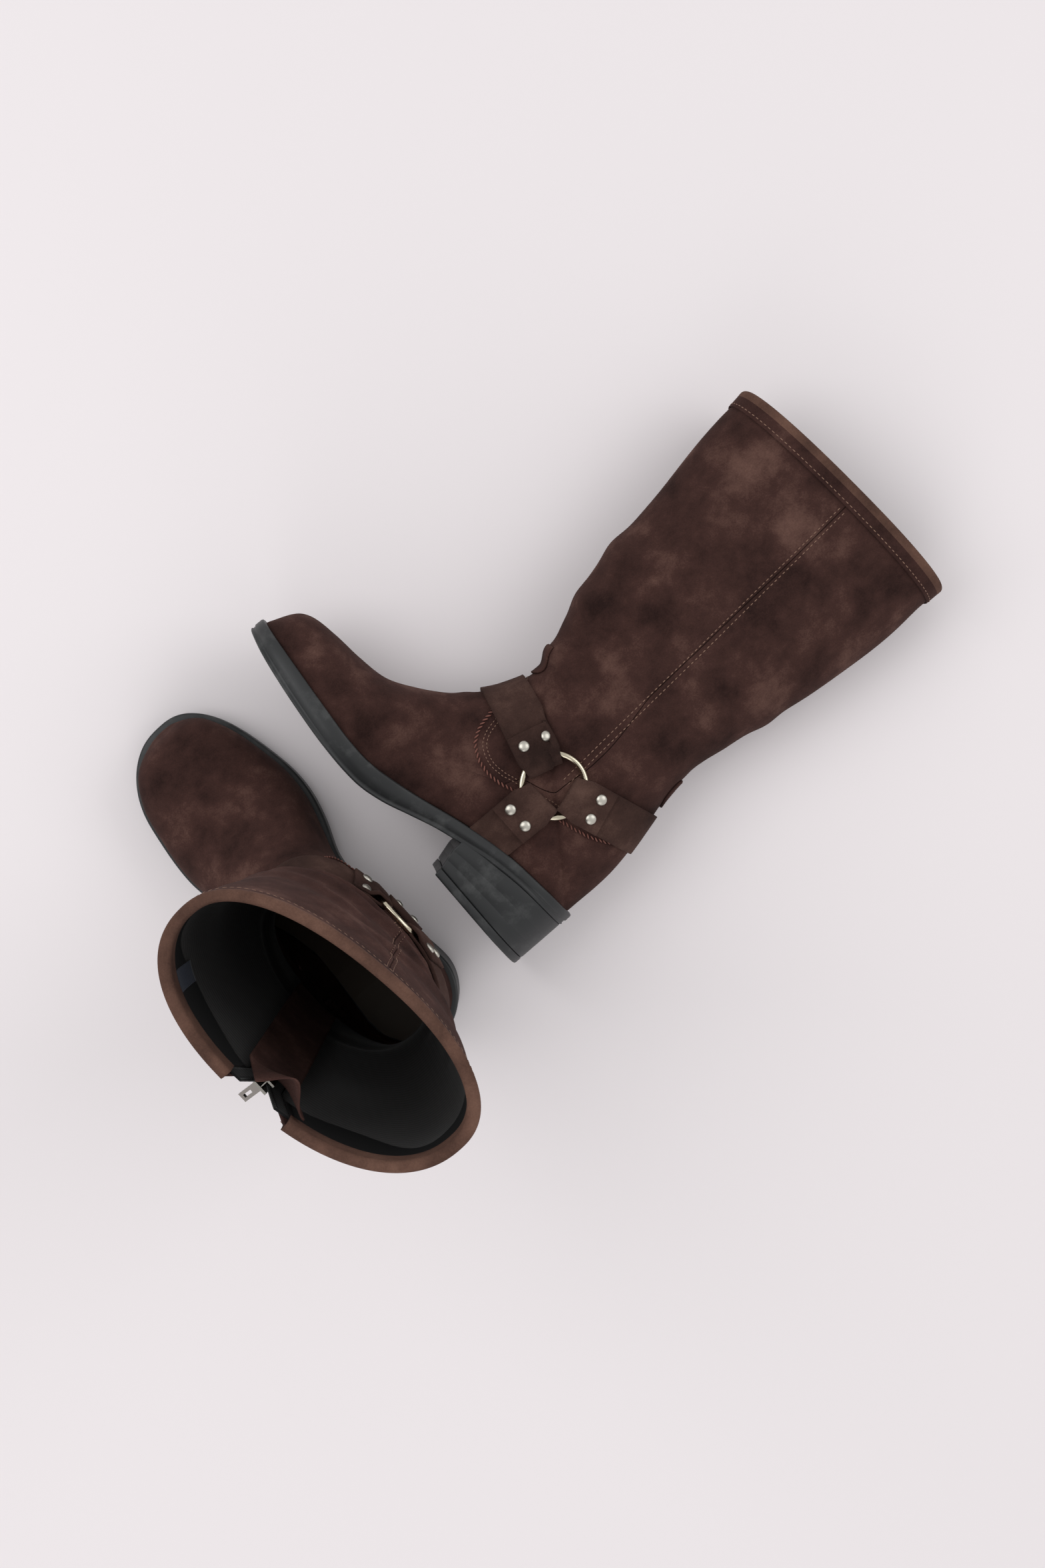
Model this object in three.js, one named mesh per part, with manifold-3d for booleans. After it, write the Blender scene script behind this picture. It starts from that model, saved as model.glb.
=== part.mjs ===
// A pair of tall harness boots in suede: the right boot stands, the left one lies on its inner side.
// Millimetres, +Z up, +Y towards both toes. The right boot's outer side faces +X, and the left boot's shaft
// points along +X with its outer side up. Each boot is designed once, in its own frame: +x to its outer
// side, +y to the toe, +z up, with the heel's rearmost point at y = 0 and the ground at z = 0. The pair's
// origin is the middle of the right heel's base.
import * as THREE from "three";
import { mergeVertices } from "three/addons/utils/BufferGeometryUtils.js";
import Module from "manifold-3d";

const wasm = await Module();
wasm.setup();

// ---- Driving dimensions ----
const SOLE_LENGTH = 290;
const SHAFT_HEIGHT = 388; // from the ground to the rim, at the back
const DRAWN = { length: 290, height: 388 }; // the sizes that the curves and sections below are drawn for
const FOREFOOT = 165; // another sole length changes the foot from here to the toe
const CALF = 205; // another shaft height changes the shaft from here to the rim
const HEEL_LENGTH = 86; // of the heel block, back to breast
const HEEL_MIDDLE = 45; // the pair's origin, from the right heel's rearmost point
const HEEL_CAP = 6; // thickness of the heel's top piece
const TOE_ROUND = 50; // length over which the outline rounds off at the toe
const HEEL_ROUND = 38;
const UPPER_INSET = 4.2; // ledge of the sole around the upper
const HEEL_INSET = { block: 0.8, cap: 0.4 }; // inside the sole's outline
const SUEDE = 2; // thickness of the suede
const LINING = 1;
const GAP = 0.3; // between pieces that touch
const TOE_CLEAR = 1; // between the upper's inner face and the layers on the sole
const INSOLE = 2.5;
const FOOTBED = 3;
const SHANK = { from: 60, to: 160, width: 14, thick: 2 };
const LINED_FROM = { back: 112, front: 180 }; // the shaft's textile lining starts above the ankle
const BINDING = { height: 14, thick: 1 };
const RIM = { back: [5, SHAFT_HEIGHT], front: [194, SHAFT_HEIGHT - 17] }; // the top line, side view
const RING = { y: 80, z: 99, radius: 21.4, wire: 2.1, clearance: 0.7, height: 5 };
// A strap's end is folded over the ring and comes down again beyond it; nose, full, down and tail are
// places along the strap from the ring's centre.
const STRAP = { width: 31, neck: 24, lift: 0.6, single: 2.4, doubled: 5, over: 1.2, nose: RING.radius - 10.9,
  full: RING.radius + 1.1, down: RING.radius + 5.6, tail: RING.radius + 18.6 };
const STRAP_ANGLES = { front: 15, rear: 160, down: -91 }; // degrees above the toe direction
const RIVET = { head: 3.8, height: 1.6, shank: 1.4, depth: 3.2, from: RING.radius + 10.1, apart: 14.6 };
const ZIP = { from: 150, slot: 5.8, split: 0.6, teeth: 2.4, tape: 11, guard: 17 }; // half widths
const TAPE = 0.8; // thickness of the zip's tape
const TEETH = { out: 0.8, inn: 1.6 }; // how far they reach out and in from the tape's outer face
const GUARD = { below: 5.6, thick: 1.2, top: SHAFT_HEIGHT - 16 }; // the flap behind the zip
const SLIDER = { length: 13, width: 9.5, plate: 1.2, rise: 0.9, low: 188, high: SHAFT_HEIGHT - 22 };
const EAR = { from: 3.4, to: 4.4, high: 1.4, pin: 0.5 }; // the slider's ears, which hold the pull's pin
const PULL = { length: 26, width: 6, thick: 1.6, barrel: 1.1, bore: 0.8 };
const TAB = { width: 26, height: 23, thick: 1.6, front: 138, back: 145 };
const ACROSS = 4; // facets from the front of a section to its back, on each side
const RADIAL = 22; // facets round a ring

// How each boot is set down. A soft shaft's top leans back, sways inwards, twists and widens on each side.
const STANDING = { lean: 33, sway: 7, twist: 0.135, outer: 1.5, inner: 11, open: 29, pull: 50,
  slider: SLIDER.high - 22 };
const LYING = { lean: 0, sway: 0, twist: 0, outer: 0, inner: 0, open: 0, slider: SLIDER.high, pull: 0 };
const LEAN = { from: 120, full: 150 }; // the lean's bend, at the ankle
const LYING_HEEL = { x: 71.3, y: 2.6 }; // the left heel's back bottom corner, from the right heel
const LYING_TURN = -2.15; // degrees

// ---- Curves ----
// A smooth curve through [t, value] points, flat beyond both ends.
function curve(points) {
  const slopes = points.map((p, i) => {
    const a = points[Math.max(0, i - 1)], b = points[Math.min(points.length - 1, i + 1)];
    return (b[1] - a[1]) / (b[0] - a[0]);
  });
  return (t) => {
    if (t <= points[0][0]) return points[0][1];
    if (t >= points.at(-1)[0]) return points.at(-1)[1];
    const i = points.findIndex((p) => p[0] > t) - 1;
    const [t0, v0] = points[i], [t1, v1] = points[i + 1];
    const h = t1 - t0, q = (t - t0) / h;
    const blend = q * q * (3 - 2 * q);
    return v0 + (v1 - v0) * blend + h * q * (1 - q) * ((1 - q) * slopes[i] - q * slopes[i + 1]);
  };
}
// A place along the drawn foot, or a height on the drawn shaft, on a boot of another size.
const beyond = (t, from, to) => Math.max(0, (t - from) / (to - from));
const onFoot = (y) => y + (SOLE_LENGTH - DRAWN.length) * beyond(y, FOREFOOT, DRAWN.length);
const onShaft = (z) => z + (SHAFT_HEIGHT - DRAWN.height) * beyond(z, CALF, DRAWN.height);
const footCurve = (points) => curve(points.map(([y, value]) => [onFoot(y), value]));

// The sole's pieces share one set of places along the foot, closer at the ends, so that their faces match.
const STEPS = 20;
const STATIONS = [...Array(STEPS + 1).keys()]
  .map((i) => (SOLE_LENGTH * (1 - Math.cos((Math.PI * i) / STEPS))) / 2);
const atStations = (smoothCurve) => {
  const values = STATIONS.map(smoothCurve);
  return (y) => {
    if (y >= SOLE_LENGTH) return values[STEPS];
    const i = Math.max(0, STATIONS.findIndex((s) => s > y) - 1);
    const q = (Math.max(0, y) - STATIONS[i]) / (STATIONS[i + 1] - STATIONS[i]);
    return values[i] + q * (values[i + 1] - values[i]);
  };
};
// Side view of the sole: its upper edge and its underside. The heel block stands under the rear.
const soleTop = atStations(footCurve([[0, 51], [30, 49.5], [64, 45.5], [98, 37], [131, 26], [152, 20],
  [170, 16.5], [190, 16], [219, 18], [253, 21], [290, 24]]));
const soleUnder = atStations(footCurve([[0, 41], [40, 38.5], [70, 33], [86, 28], [109, 20.5], [127, 13],
  [145, 5.5], [163, 1], [180, 0], [200, 0.6], [218, 2], [245, 5], [272, 9], [290, 13]]));
// Plan of the sole: half widths before the ends are rounded off.
const OUTER = footCurve([[0, 37], [40, 38.5], [70, 35], [105, 30.5], [139, 31.5], [165, 41], [185, 46.5],
  [205, 48], [230, 45], [255, 40], [275, 36], [290, 33]]);
const INNER = footCurve([[0, 34], [40, 34.5], [70, 32], [105, 31.5], [139, 42], [165, 53], [190, 58],
  [210, 57.5], [235, 53.5], [255, 49], [275, 43], [290, 37]]);
const rounded = (q, power) => (q >= 1 ? 1 : Math.pow(1 - Math.pow(1 - Math.max(0, q), power), 1 / power));
function planHalf(side, y, inset) {
  const base = (side > 0 ? OUTER(y) : INNER(y)) - inset;
  const heel = rounded((y - inset) / (HEEL_ROUND - inset), 2);
  const toe = rounded((SOLE_LENGTH - inset - y) / (TOE_ROUND - inset), 2.6);
  return base * heel * toe;
}

// ---- Solids ----
function toSolid(geometry) {
  const bare = geometry.index ? geometry.toNonIndexed() : geometry.clone();
  bare.deleteAttribute("normal");
  bare.deleteAttribute("uv");
  const merged = mergeVertices(bare, 1e-4);
  return new wasm.Manifold(new wasm.Mesh({
    numProp: 3,
    vertProperties: new Float32Array(merged.attributes.position.array),
    triVerts: new Uint32Array(merged.index.array),
  }));
}

// A closed solid through rings of points, each ring closed and all of one length, with both ends capped.
function loft(rings) {
  const position = [], index = [];
  const n = rings[0].length;
  for (const ring of rings) for (const p of ring) position.push(p.x, p.y, p.z);
  for (let i = 0; i + 1 < rings.length; i++)
    for (let j = 0; j < n; j++) {
      const a = i * n + j, b = i * n + ((j + 1) % n);
      index.push(a, b, a + n, b, b + n, a + n);
    }
  for (const [i, flip] of [[0, true], [rings.length - 1, false]]) {
    const centre = rings[i].reduce((s, p) => s.add(p), new THREE.Vector3()).divideScalar(n);
    const c = position.length / 3;
    position.push(centre.x, centre.y, centre.z);
    for (let j = 0; j < n; j++) {
      const a = i * n + j, b = i * n + ((j + 1) % n);
      if (flip) index.push(b, a, c);
      else index.push(a, b, c);
    }
  }
  const geometry = new THREE.BufferGeometry();
  geometry.setAttribute("position", new THREE.Float32BufferAttribute(position, 3));
  geometry.setIndex(index);
  return toSolid(geometry);
}

// A side-view outline of [y, z] points, extruded across the boot from x0 to x1.
function sidePrism(outline, x0, x1) {
  const shape = new THREE.Shape(outline.map(([y, z]) => new THREE.Vector2(y, z)));
  const geometry = new THREE.ExtrudeGeometry(shape, { depth: x1 - x0, bevelEnabled: false });
  geometry.applyMatrix4(new THREE.Matrix4().set(0, 0, 1, x0, 1, 0, 0, 0, 0, 1, 0, 0, 0, 0, 0, 1));
  return toSolid(geometry);
}

// A plate shaped like the sole: between two heights that follow the length, from one place to another.
const BLUNT = 0.4; // where an outline would close to a point at the toe and heel, it's cut off this short
function soleSlab({ inset = 0, from = 0, to = SOLE_LENGTH, half = null, low, high }) {
  const start = Math.max(from, inset + BLUNT), end = Math.min(to, SOLE_LENGTH - inset - BLUNT);
  const places = [start, ...STATIONS.filter((y) => y > start + 0.5 && y < end - 0.5), end];
  return loft(places.map((y) => {
    const outer = half ?? planHalf(1, y, inset), inner = half ?? planHalf(-1, y, inset);
    return [
      new THREE.Vector3(outer, y, low(y)), new THREE.Vector3(-inner, y, low(y)),
      new THREE.Vector3(-inner, y, high(y)), new THREE.Vector3(outer, y, high(y)),
    ];
  }));
}

// ---- The body of the boot: sections from the toe over the ankle to the rim ----
// Each section runs from a back point to a front point in the side view. widest is where along it the
// half widths lie, and a section that stands on the sole is open there.
const ON_SOLE = [ // y at the sole, front point, half widths outer and inner beyond the plan's, widest
  [285, 285.2, 26.5, 0.2, 0.2, 0.1], [277, 277.5, 44, 0.8, 0.8, 0.2], [259, 258, 53, 1, 1, 0.22],
  [231, 229, 56.1, 1, 1, 0.2], [203, 201, 63, 1, 1, 0.2], [172, 178, 80, 0.8, 0.8, 0.2],
  [138, 162, 96, 4, 0.8, 0.34], [100, 152, 112, 9, 7, 0.42], [58, 146, 127, 5, 8, 0.44],
  [28, 144, 135, 5, 8, 0.44], [13, 143.4, 140, 12, 14, 0.45], [5.6, 143, 144, 27, 28, 0.47],
];
const ABOVE_SOLE = [ // back point, front point, half widths outer and inner
  [4.6, 72, 144, 149.5, 37.4, 36.2], [8, 106, 149, 160, 37.2, 36], [15, 138, 155, 173, 37.8, 36.4],
  [22.5, 172, 162, 190, 39.6, 37.3], [18.5, 205, 168, 210, 41.3, 38.1], [10.5, 250, 175.5, 248, 42.6, 39.5],
  [4.4, 320, 187, 312, 43.3, 41.5], [RIM.back[0], DRAWN.height, RIM.front[0], DRAWN.height - 17, 43, 43.5],
  [5.5, 405, 196, 388, 43, 44],
];
const SHAFT_WIDEST = 0.48;
const POWER = 2.25; // roundness of the sections: 2 is an ellipse

function sections(pose) {
  const onSole = ON_SOLE.map(([drawnY, drawnFront, fz, addOuter, addInner, widest]) => {
    const y = onFoot(drawnY), fy = onFoot(drawnFront);
    const outer = planHalf(1, y, UPPER_INSET), inner = planHalf(-1, y, UPPER_INSET);
    return { back: [y, soleTop(y)], front: [fy, fz], outer: outer + addOuter, inner: inner + addInner,
      widest, openOuter: outer / (outer + addOuter), openInner: inner / (inner + addInner) };
  });
  const above = ABOVE_SOLE.map(([by, drawnBack, fy, drawnFront, outer, inner]) => {
    const bz = onShaft(drawnBack), fz = onShaft(drawnFront);
    const rise = Math.max(0, ((bz + fz) / 2 - ZIP.from) / (RIM.front[1] - ZIP.from));
    return { back: [by, bz], front: [fy, fz], outer: outer + pose.outer * rise,
      inner: inner + pose.inner * rise, widest: SHAFT_WIDEST, openOuter: 0, openInner: 0 };
  });
  return [...onSole, ...above];
}

// The point of a section at across = 0 (front) .. 1 (widest) .. 2 (back or sole), on one side.
function sectionPoint(section, side, across) {
  const width = side > 0 ? section.outer : section.inner;
  const open = side > 0 ? section.openOuter : section.openInner;
  const c = section.widest, low = Math.pow(1 - Math.pow(open, POWER), 1 / POWER);
  let along, x;
  if (across <= 1) {
    const angle = (1 - across) * Math.PI / 2;
    along = c + (1 - c) * Math.pow(Math.sin(angle), 2 / POWER);
    x = width * Math.pow(Math.max(0, Math.cos(angle)), 2 / POWER);
  } else {
    const angle = (across - 1) * Math.asin(Math.min(1, Math.pow(low, POWER / 2)));
    along = c * (1 - Math.pow(Math.sin(angle), 2 / POWER) / low);
    x = width * Math.pow(Math.max(0, Math.cos(angle)), 2 / POWER);
  }
  if (across <= 0 || (across >= 2 && open === 0)) x = 0;
  return new THREE.Vector3(side * x,
    section.back[0] + along * (section.front[0] - section.back[0]),
    section.back[1] + along * (section.front[1] - section.back[1]));
}

// The grid of points on the body's surface: one row a section, from one side's back to the other's.
function bodyGrid(pose) {
  return sections(pose).map((section) => {
    const row = [];
    for (let j = -2 * ACROSS; j <= 2 * ACROSS; j++)
      row.push(sectionPoint(section, j < 0 ? -1 : 1, Math.abs(j) / ACROSS));
    return row;
  });
}

// The body as a solid, its surface moved outwards by offset. Its foot reaches down into the sole.
const SKIRT = 14; // how far the foot reaches below its edge
function bodySolid(pose, offset) {
  const list = sections(pose), grid = bodyGrid(pose);
  const normalAt = (i, j) => {
    const row = grid[i], last = row.length - 1;
    const closed = list[i].openOuter === 0;
    const left = j === 0 ? row[closed ? last - 1 : 0] : row[j - 1];
    const right = j === last ? row[closed ? 1 : last] : row[j + 1];
    const before = grid[Math.max(0, i - 1)][j], after = grid[Math.min(grid.length - 1, i + 1)][j];
    const along = new THREE.Vector3().subVectors(after, before);
    const n = along.cross(new THREE.Vector3().subVectors(right, left));
    if (closed && (j === 0 || j === last)) n.x = 0;
    return n.normalize();
  };
  const rings = grid.map((row, i) => {
    const moved = row.map((p, j) => p.clone().addScaledVector(normalAt(i, j), offset));
    const low = i > ON_SOLE.length ? 0 : SKIRT; // a closed section needs no skirt
    const skirt = [moved.at(-1), moved[0]].map((p) => new THREE.Vector3(p.x, p.y, p.z - low));
    return [...moved, ...skirt].reverse();
  });
  return loft(rings);
}

// How far out the surface lies at a place in the side view.
function surfaceX(pose, side, y, z) {
  const grid = bodyGrid(pose);
  let best = 0;
  const spot = new THREE.Vector3(0, y, z), bary = new THREE.Vector3();
  const test = (...corners) => {
    const flat = corners.map((p) => new THREE.Vector3(0, p.y, p.z));
    if (!new THREE.Triangle(...flat).getBarycoord(spot, bary)) return;
    if (Math.min(bary.x, bary.y, bary.z) < -1e-6) return;
    const x = corners[0].x * bary.x + corners[1].x * bary.y + corners[2].x * bary.z;
    if (x * side > best) best = x * side;
  };
  for (let i = 0; i + 1 < grid.length; i++)
    for (let j = 0; j + 1 < grid[i].length; j++) {
      if ((grid[i][j].x + grid[i][j + 1].x) * side < 0) continue;
      test(grid[i][j], grid[i][j + 1], grid[i + 1][j]);
      test(grid[i][j + 1], grid[i + 1][j + 1], grid[i + 1][j]);
    }
  return best * side;
}

// ---- Regions of the side view ----
const RIM_SLOPE = (RIM.front[1] - RIM.back[1]) / (RIM.front[0] - RIM.back[0]);
const rimZ = (y) => RIM.back[1] + (y - RIM.back[0]) * RIM_SLOPE;
const seamY = (z) => 78 + (z - 133) * 0.07; // the side seam, and the zip on the inner side
const SEAM_CURVE = [ // where foot and shaft meet, from the front to the back
  [162, 152], [147, 120], [143, 99], [141, 86], [134, 76], [119, 71], [107, 72], [97, 77], [75, 83],
  [57, 88], [24.5, 102], [10, 120], [-20, 136],
];
const FAR = SOLE_LENGTH + 30, BEHIND = -20; // beyond the toe and the heel
const ABOVE = SHAFT_HEIGHT + 22; // over the rim
const soleLine = (rise) => {
  const line = STATIONS.map((y) => [y, soleTop(y) + rise]);
  return [[BEHIND, line[0][1]], ...line, [FAR, line[STEPS][1]]];
};
const SEAM_GAP = 1.2 * GAP; // measured upwards, so a little more where the seam slopes
const footRegion = () => sidePrism([...soleLine(GAP), [FAR, SEAM_CURVE[0][1]], ...SEAM_CURVE], -FAR, FAR);
function shaftRegion() {
  const raised = SEAM_CURVE.map(([y, z]) => [y, z + SEAM_GAP]).reverse();
  return sidePrism([...raised, [FAR, SEAM_CURVE[0][1] + SEAM_GAP], [FAR, rimZ(FAR)], [BEHIND, rimZ(BEHIND)]],
    -FAR, FAR);
}
// A strip along the side seam's line between two heights, its edges at distances that follow the height.
function alongSeam(z0, z1, near, far, x0, x1, steps = 6) {
  const up = [], down = [];
  for (let i = 0; i <= steps; i++) {
    const z = z0 + ((z1 - z0) * i) / steps;
    up.push([seamY(z) + near(z), z]);
    down.unshift([seamY(z) + far(z), z]);
  }
  return sidePrism([...up, ...down].reverse(), x0, x1);
}
const frontHalf = () => alongSeam(BEHIND, ABOVE, () => GAP / 2, () => FAR, -FAR, FAR, 1);
const backHalf = () => alongSeam(BEHIND, ABOVE, () => -FAR, () => -GAP / 2, -FAR, FAR, 1);
const parted = (pose) => (z) =>
  (pose.open / 2) * Math.max(0, (z - pose.slider) / (rimZ(seamY(RIM.front[1])) - pose.slider));
// The opening left for the zip, half wide on each side of its line; it widens where the zip is open.
function zipSlot(pose, half, from) {
  const part = parted(pose);
  const edge = [pose.slider, ABOVE].map((z) => [seamY(z), z, half + part(z)]);
  return sidePrism([[seamY(from) - half, from], [seamY(from) + half, from],
    ...edge.map(([y, z, w]) => [y + w, z]), ...edge.reverse().map(([y, z, w]) => [y - w, z])], -FAR, 0);
}

// ---- Pieces of one boot; every function returns a solid in the boot's frame ----
const shell = (pose, out, inn) => bodySolid(pose, out).subtract(bodySolid(pose, inn));
const biggest = (solid) => solid.decompose().sort((a, b) => b.volume() - a.volume())[0];

function outsole() {
  const slab = soleSlab({ low: soleUnder, high: soleTop });
  const pocket = soleSlab({ from: SHANK.from - GAP, to: SHANK.to + GAP, half: SHANK.width / 2 + GAP,
    low: (y) => soleTop(y) - SHANK.thick - 2 * GAP, high: (y) => soleTop(y) + 5 });
  return slab.subtract(pocket);
}
const shank = () => soleSlab({ from: SHANK.from, to: SHANK.to, half: SHANK.width / 2,
  low: (y) => soleTop(y) - SHANK.thick - GAP, high: (y) => soleTop(y) - GAP });
const heelBlock = () => soleSlab({ inset: HEEL_INSET.block, to: HEEL_LENGTH, low: () => HEEL_CAP + GAP,
  high: (y) => soleUnder(y) - GAP });
const heelCap = () => soleSlab({ inset: HEEL_INSET.cap, to: HEEL_LENGTH, low: () => 0,
  high: () => HEEL_CAP });
// A layer inside the foot, cut to its inner wall, between two rises over the sole.
function innerLayer(pose, low, high) {
  const slab = soleSlab({ inset: UPPER_INSET + SUEDE + TOE_CLEAR,
    low: (y) => soleTop(y) + low, high: (y) => soleTop(y) + high });
  return biggest(slab.intersect(bodySolid(pose, -SUEDE - 2 * GAP)));
}
const insoleBoard = (pose) => innerLayer(pose, GAP, GAP + INSOLE);
const footbed = (pose) => innerLayer(pose, 2 * GAP + INSOLE, 2 * GAP + INSOLE + FOOTBED);

const footUpper = (pose) => biggest(shell(pose, 0, -SUEDE).intersect(footRegion()));
function shaftPanel(pose, half) {
  const slot = zipSlot(pose, ZIP.slot, ZIP.from);
  return biggest(shell(pose, 0, -SUEDE).intersect(shaftRegion()).intersect(half).subtract(slot));
}
function shaftLining(pose) {
  const region = sidePrism([[BEHIND, LINED_FROM.back], [FAR, LINED_FROM.front], [FAR, rimZ(FAR)],
    [BEHIND, rimZ(BEHIND)]], -FAR, FAR);
  const cloth = shell(pose, -SUEDE - GAP, -SUEDE - GAP - LINING).intersect(region);
  return biggest(cloth.subtract(zipSlot(pose, ZIP.tape + 2 * GAP, ZIP.from)));
}
function topBinding(pose) {
  const edge = (rise) => [[FAR, rimZ(FAR) + rise], [BEHIND, rimZ(BEHIND) + rise]];
  const band = sidePrism([...edge(-BINDING.height).reverse(), ...edge(GAP + BINDING.thick)], -FAR, FAR);
  const cavity = sidePrism([[BEHIND, ZIP.from], [FAR, ZIP.from], ...edge(GAP)], -FAR, FAR);
  const inner = -SUEDE - LINING - 2 * GAP;
  const channel = shell(pose, GAP, inner).intersect(cavity);
  const ring = shell(pose, GAP + BINDING.thick, inner - BINDING.thick).intersect(band);
  return biggest(ring.subtract(channel).subtract(zipSlot(pose, ZIP.slot, ZIP.from)));
}

function zipHalf(pose, way) {
  const part = parted(pose);
  const strip = (from, to) => {
    const near = (z) => way * (from + part(z)), far = (z) => way * (to + part(z));
    return way > 0 ? [near, far] : [far, near];
  };
  const end = (y) => [y, rimZ(y) - 1];
  const below = sidePrism([[BEHIND, 0], [FAR, 0], end(FAR), end(BEHIND)], -FAR, FAR);
  const cut = (from, to) => {
    const low = alongSeam(ZIP.from + 4, pose.slider, ...strip(from, to), -FAR, 0, 1);
    const high = alongSeam(pose.slider, ABOVE, ...strip(from, to), -FAR, 0, 1);
    return low.add(high).intersect(below);
  };
  const face = -SUEDE - GAP;
  const tape = shell(pose, face, face - TAPE).intersect(cut(ZIP.split, ZIP.tape));
  const tooth = shell(pose, face + TEETH.out, face - TEETH.inn);
  const teeth = tooth.intersect(cut(ZIP.split, ZIP.split + ZIP.teeth));
  return biggest(tape.add(teeth));
}
function zipGuard(pose) {
  const strip = alongSeam(ZIP.from + 8, GUARD.top, () => -ZIP.guard, () => ZIP.guard, -FAR, 0, 1);
  const face = -SUEDE - GUARD.below;
  return biggest(shell(pose, face, face - GUARD.thick).intersect(strip));
}
function tab(pose, way, z) {
  const w = TAB.width / 2, h = TAB.height, round = 0.8 * w, shape = new THREE.Shape();
  shape.moveTo(-w, z + h).lineTo(-w, z + round).quadraticCurveTo(-round, z, 0, z);
  shape.quadraticCurveTo(round, z, w, z + round).lineTo(w, z + h).closePath();
  const prism = new THREE.ExtrudeGeometry(shape, { depth: FAR, bevelEnabled: false, curveSegments: 4 });
  prism.rotateX(Math.PI / 2).translate(0, seamY(z) + (way > 0 ? FAR : 0), 0);
  return biggest(shell(pose, GAP + TAB.thick, GAP).intersect(toSolid(prism)));
}

// ---- Harness ----
const direction = (degrees) => {
  const a = (degrees * Math.PI) / 180;
  return new THREE.Vector2(Math.cos(a), Math.sin(a));
};
// A place in the side view, r along a strap from the ring's centre and s across it.
const onStrap = (degrees, r, s) => {
  const d = direction(degrees);
  return [RING.y + d.x * r - d.y * s, RING.z + d.y * r + d.x * s];
};
const ringX = (pose, side) => surfaceX(pose, side, RING.y, RING.z) + side * RING.height;
function torus(pose, side, wire) {
  const ring = new THREE.TorusGeometry(RING.radius, wire, 6, RADIAL);
  ring.rotateY(Math.PI / 2).translate(ringX(pose, side), RING.y, RING.z);
  return toSolid(ring);
}
// How far out the doubled strap's flat top lies, between where it comes down and its tail.
function doubledTop(pose, side, degrees, r) {
  const { down, tail, lift, doubled } = STRAP;
  const [a, b] = [down, tail - 1].map((place) => {
    const [y, z] = onStrap(degrees, place, 0);
    return Math.abs(surfaceX(pose, side, y, z)) + lift + doubled;
  });
  return a + ((b - a) * (r - down)) / (tail - 1 - down);
}
// The strap's end folded over the ring: thick at the ring, thinner at the folded tail.
function strapLoop(pose, side, degrees) {
  const { neck, nose, full, down, tail, width, over, doubled } = STRAP;
  const at = (r) => doubledTop(pose, side, degrees, r);
  const crest = Math.abs(ringX(pose, side)) + RING.wire + RING.clearance + over;
  const top = [[nose, crest - 3.4], [nose + 1.2, crest - 1.4], [nose + 4, crest], [full, crest],
    [down, at(down)], [tail - 1, at(tail - 1)], [tail, at(tail) + 1 - doubled]];
  const profile = [[nose, 0], [tail, 0], ...top.reverse()].map(([r, x]) => new THREE.Vector2(r, x));
  const shape = new THREE.Shape(profile);
  const slab = new THREE.ExtrudeGeometry(shape, { depth: width, bevelEnabled: false });
  const d = direction(degrees), turned = new THREE.Matrix4();
  turned.set(0, side, 0, 0, d.x, 0, -d.y, RING.y + d.y * width / 2,
    d.y, 0, d.x, RING.z - d.x * width / 2, 0, 0, 0, 1);
  slab.applyMatrix4(turned);
  if (turned.determinant() < 0) flip(slab);
  const wide = nose + 12;
  const outline = [[nose, -neck / 2], [wide, -width / 2], [tail, -width / 2], [tail, width / 2],
    [wide, width / 2], [nose, neck / 2]].map(([r, s]) => onStrap(degrees, r, s));
  return toSolid(slab).intersect(sidePrism(outline, -FAR, FAR));
}
function strip(pose, degrees, to, x0, x1) {
  const { tail, width, lift, single } = STRAP;
  const outline = [[tail - 2, -width / 2], [to, -width / 2], [to, width / 2], [tail - 2, width / 2]];
  const prism = sidePrism(outline.map(([r, s]) => onStrap(degrees, r, s)), x0, x1);
  return shell(pose, lift + single, lift).intersect(prism);
}
function strapEnd(pose, side, degrees) {
  let end = strapLoop(pose, side, degrees).subtract(bodySolid(pose, STRAP.lift));
  end = end.subtract(torus(pose, side, RING.wire + RING.clearance));
  if (side > 0) for (const way of [-1, 1]) end = end.subtract(rivetAt(pose, degrees, way, GAP));
  return end;
}
const strapAcross = (pose, degrees) => biggest(strip(pose, degrees, 150, -FAR, FAR)
  .add(strapEnd(pose, 1, degrees)).add(strapEnd(pose, -1, degrees)));
function strapDown(pose, side) {
  const down = strip(pose, STRAP_ANGLES.down, 90, side > 0 ? 0 : -FAR, side > 0 ? FAR : 0);
  const above = sidePrism([...soleLine(GAP), [FAR, ABOVE], [BEHIND, ABOVE]], -FAR, FAR);
  return biggest(down.add(strapEnd(pose, side, STRAP_ANGLES.down)).intersect(above));
}
// A domed rivet on the outer side; more widens its shank, which cuts its hole.
function rivetAt(pose, degrees, way, more = 0) {
  const [y, z] = onStrap(degrees, RIVET.from, (way * RIVET.apart) / 2);
  const edges = [-RIVET.head, RIVET.head].map((r) => doubledTop(pose, 1, degrees, RIVET.from + r));
  const base = Math.max(...edges); // its head clears the strap's slope
  const { head, height, shank, depth } = RIVET;
  const profile = more ? [[0, -depth - GAP], [shank + more, -depth - GAP], [shank + more, 4], [0, 4]]
    : [[0, -depth], [shank, -depth], [shank, GAP], [head, GAP], [head * 0.8, height * 0.8 + GAP],
      [0, height + GAP]];
  const lathe = new THREE.LatheGeometry(profile.map(([r, h]) => new THREE.Vector2(r, h)), 8);
  lathe.rotateZ(-Math.PI / 2).translate(base, y, z);
  return toSolid(lathe);
}

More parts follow.
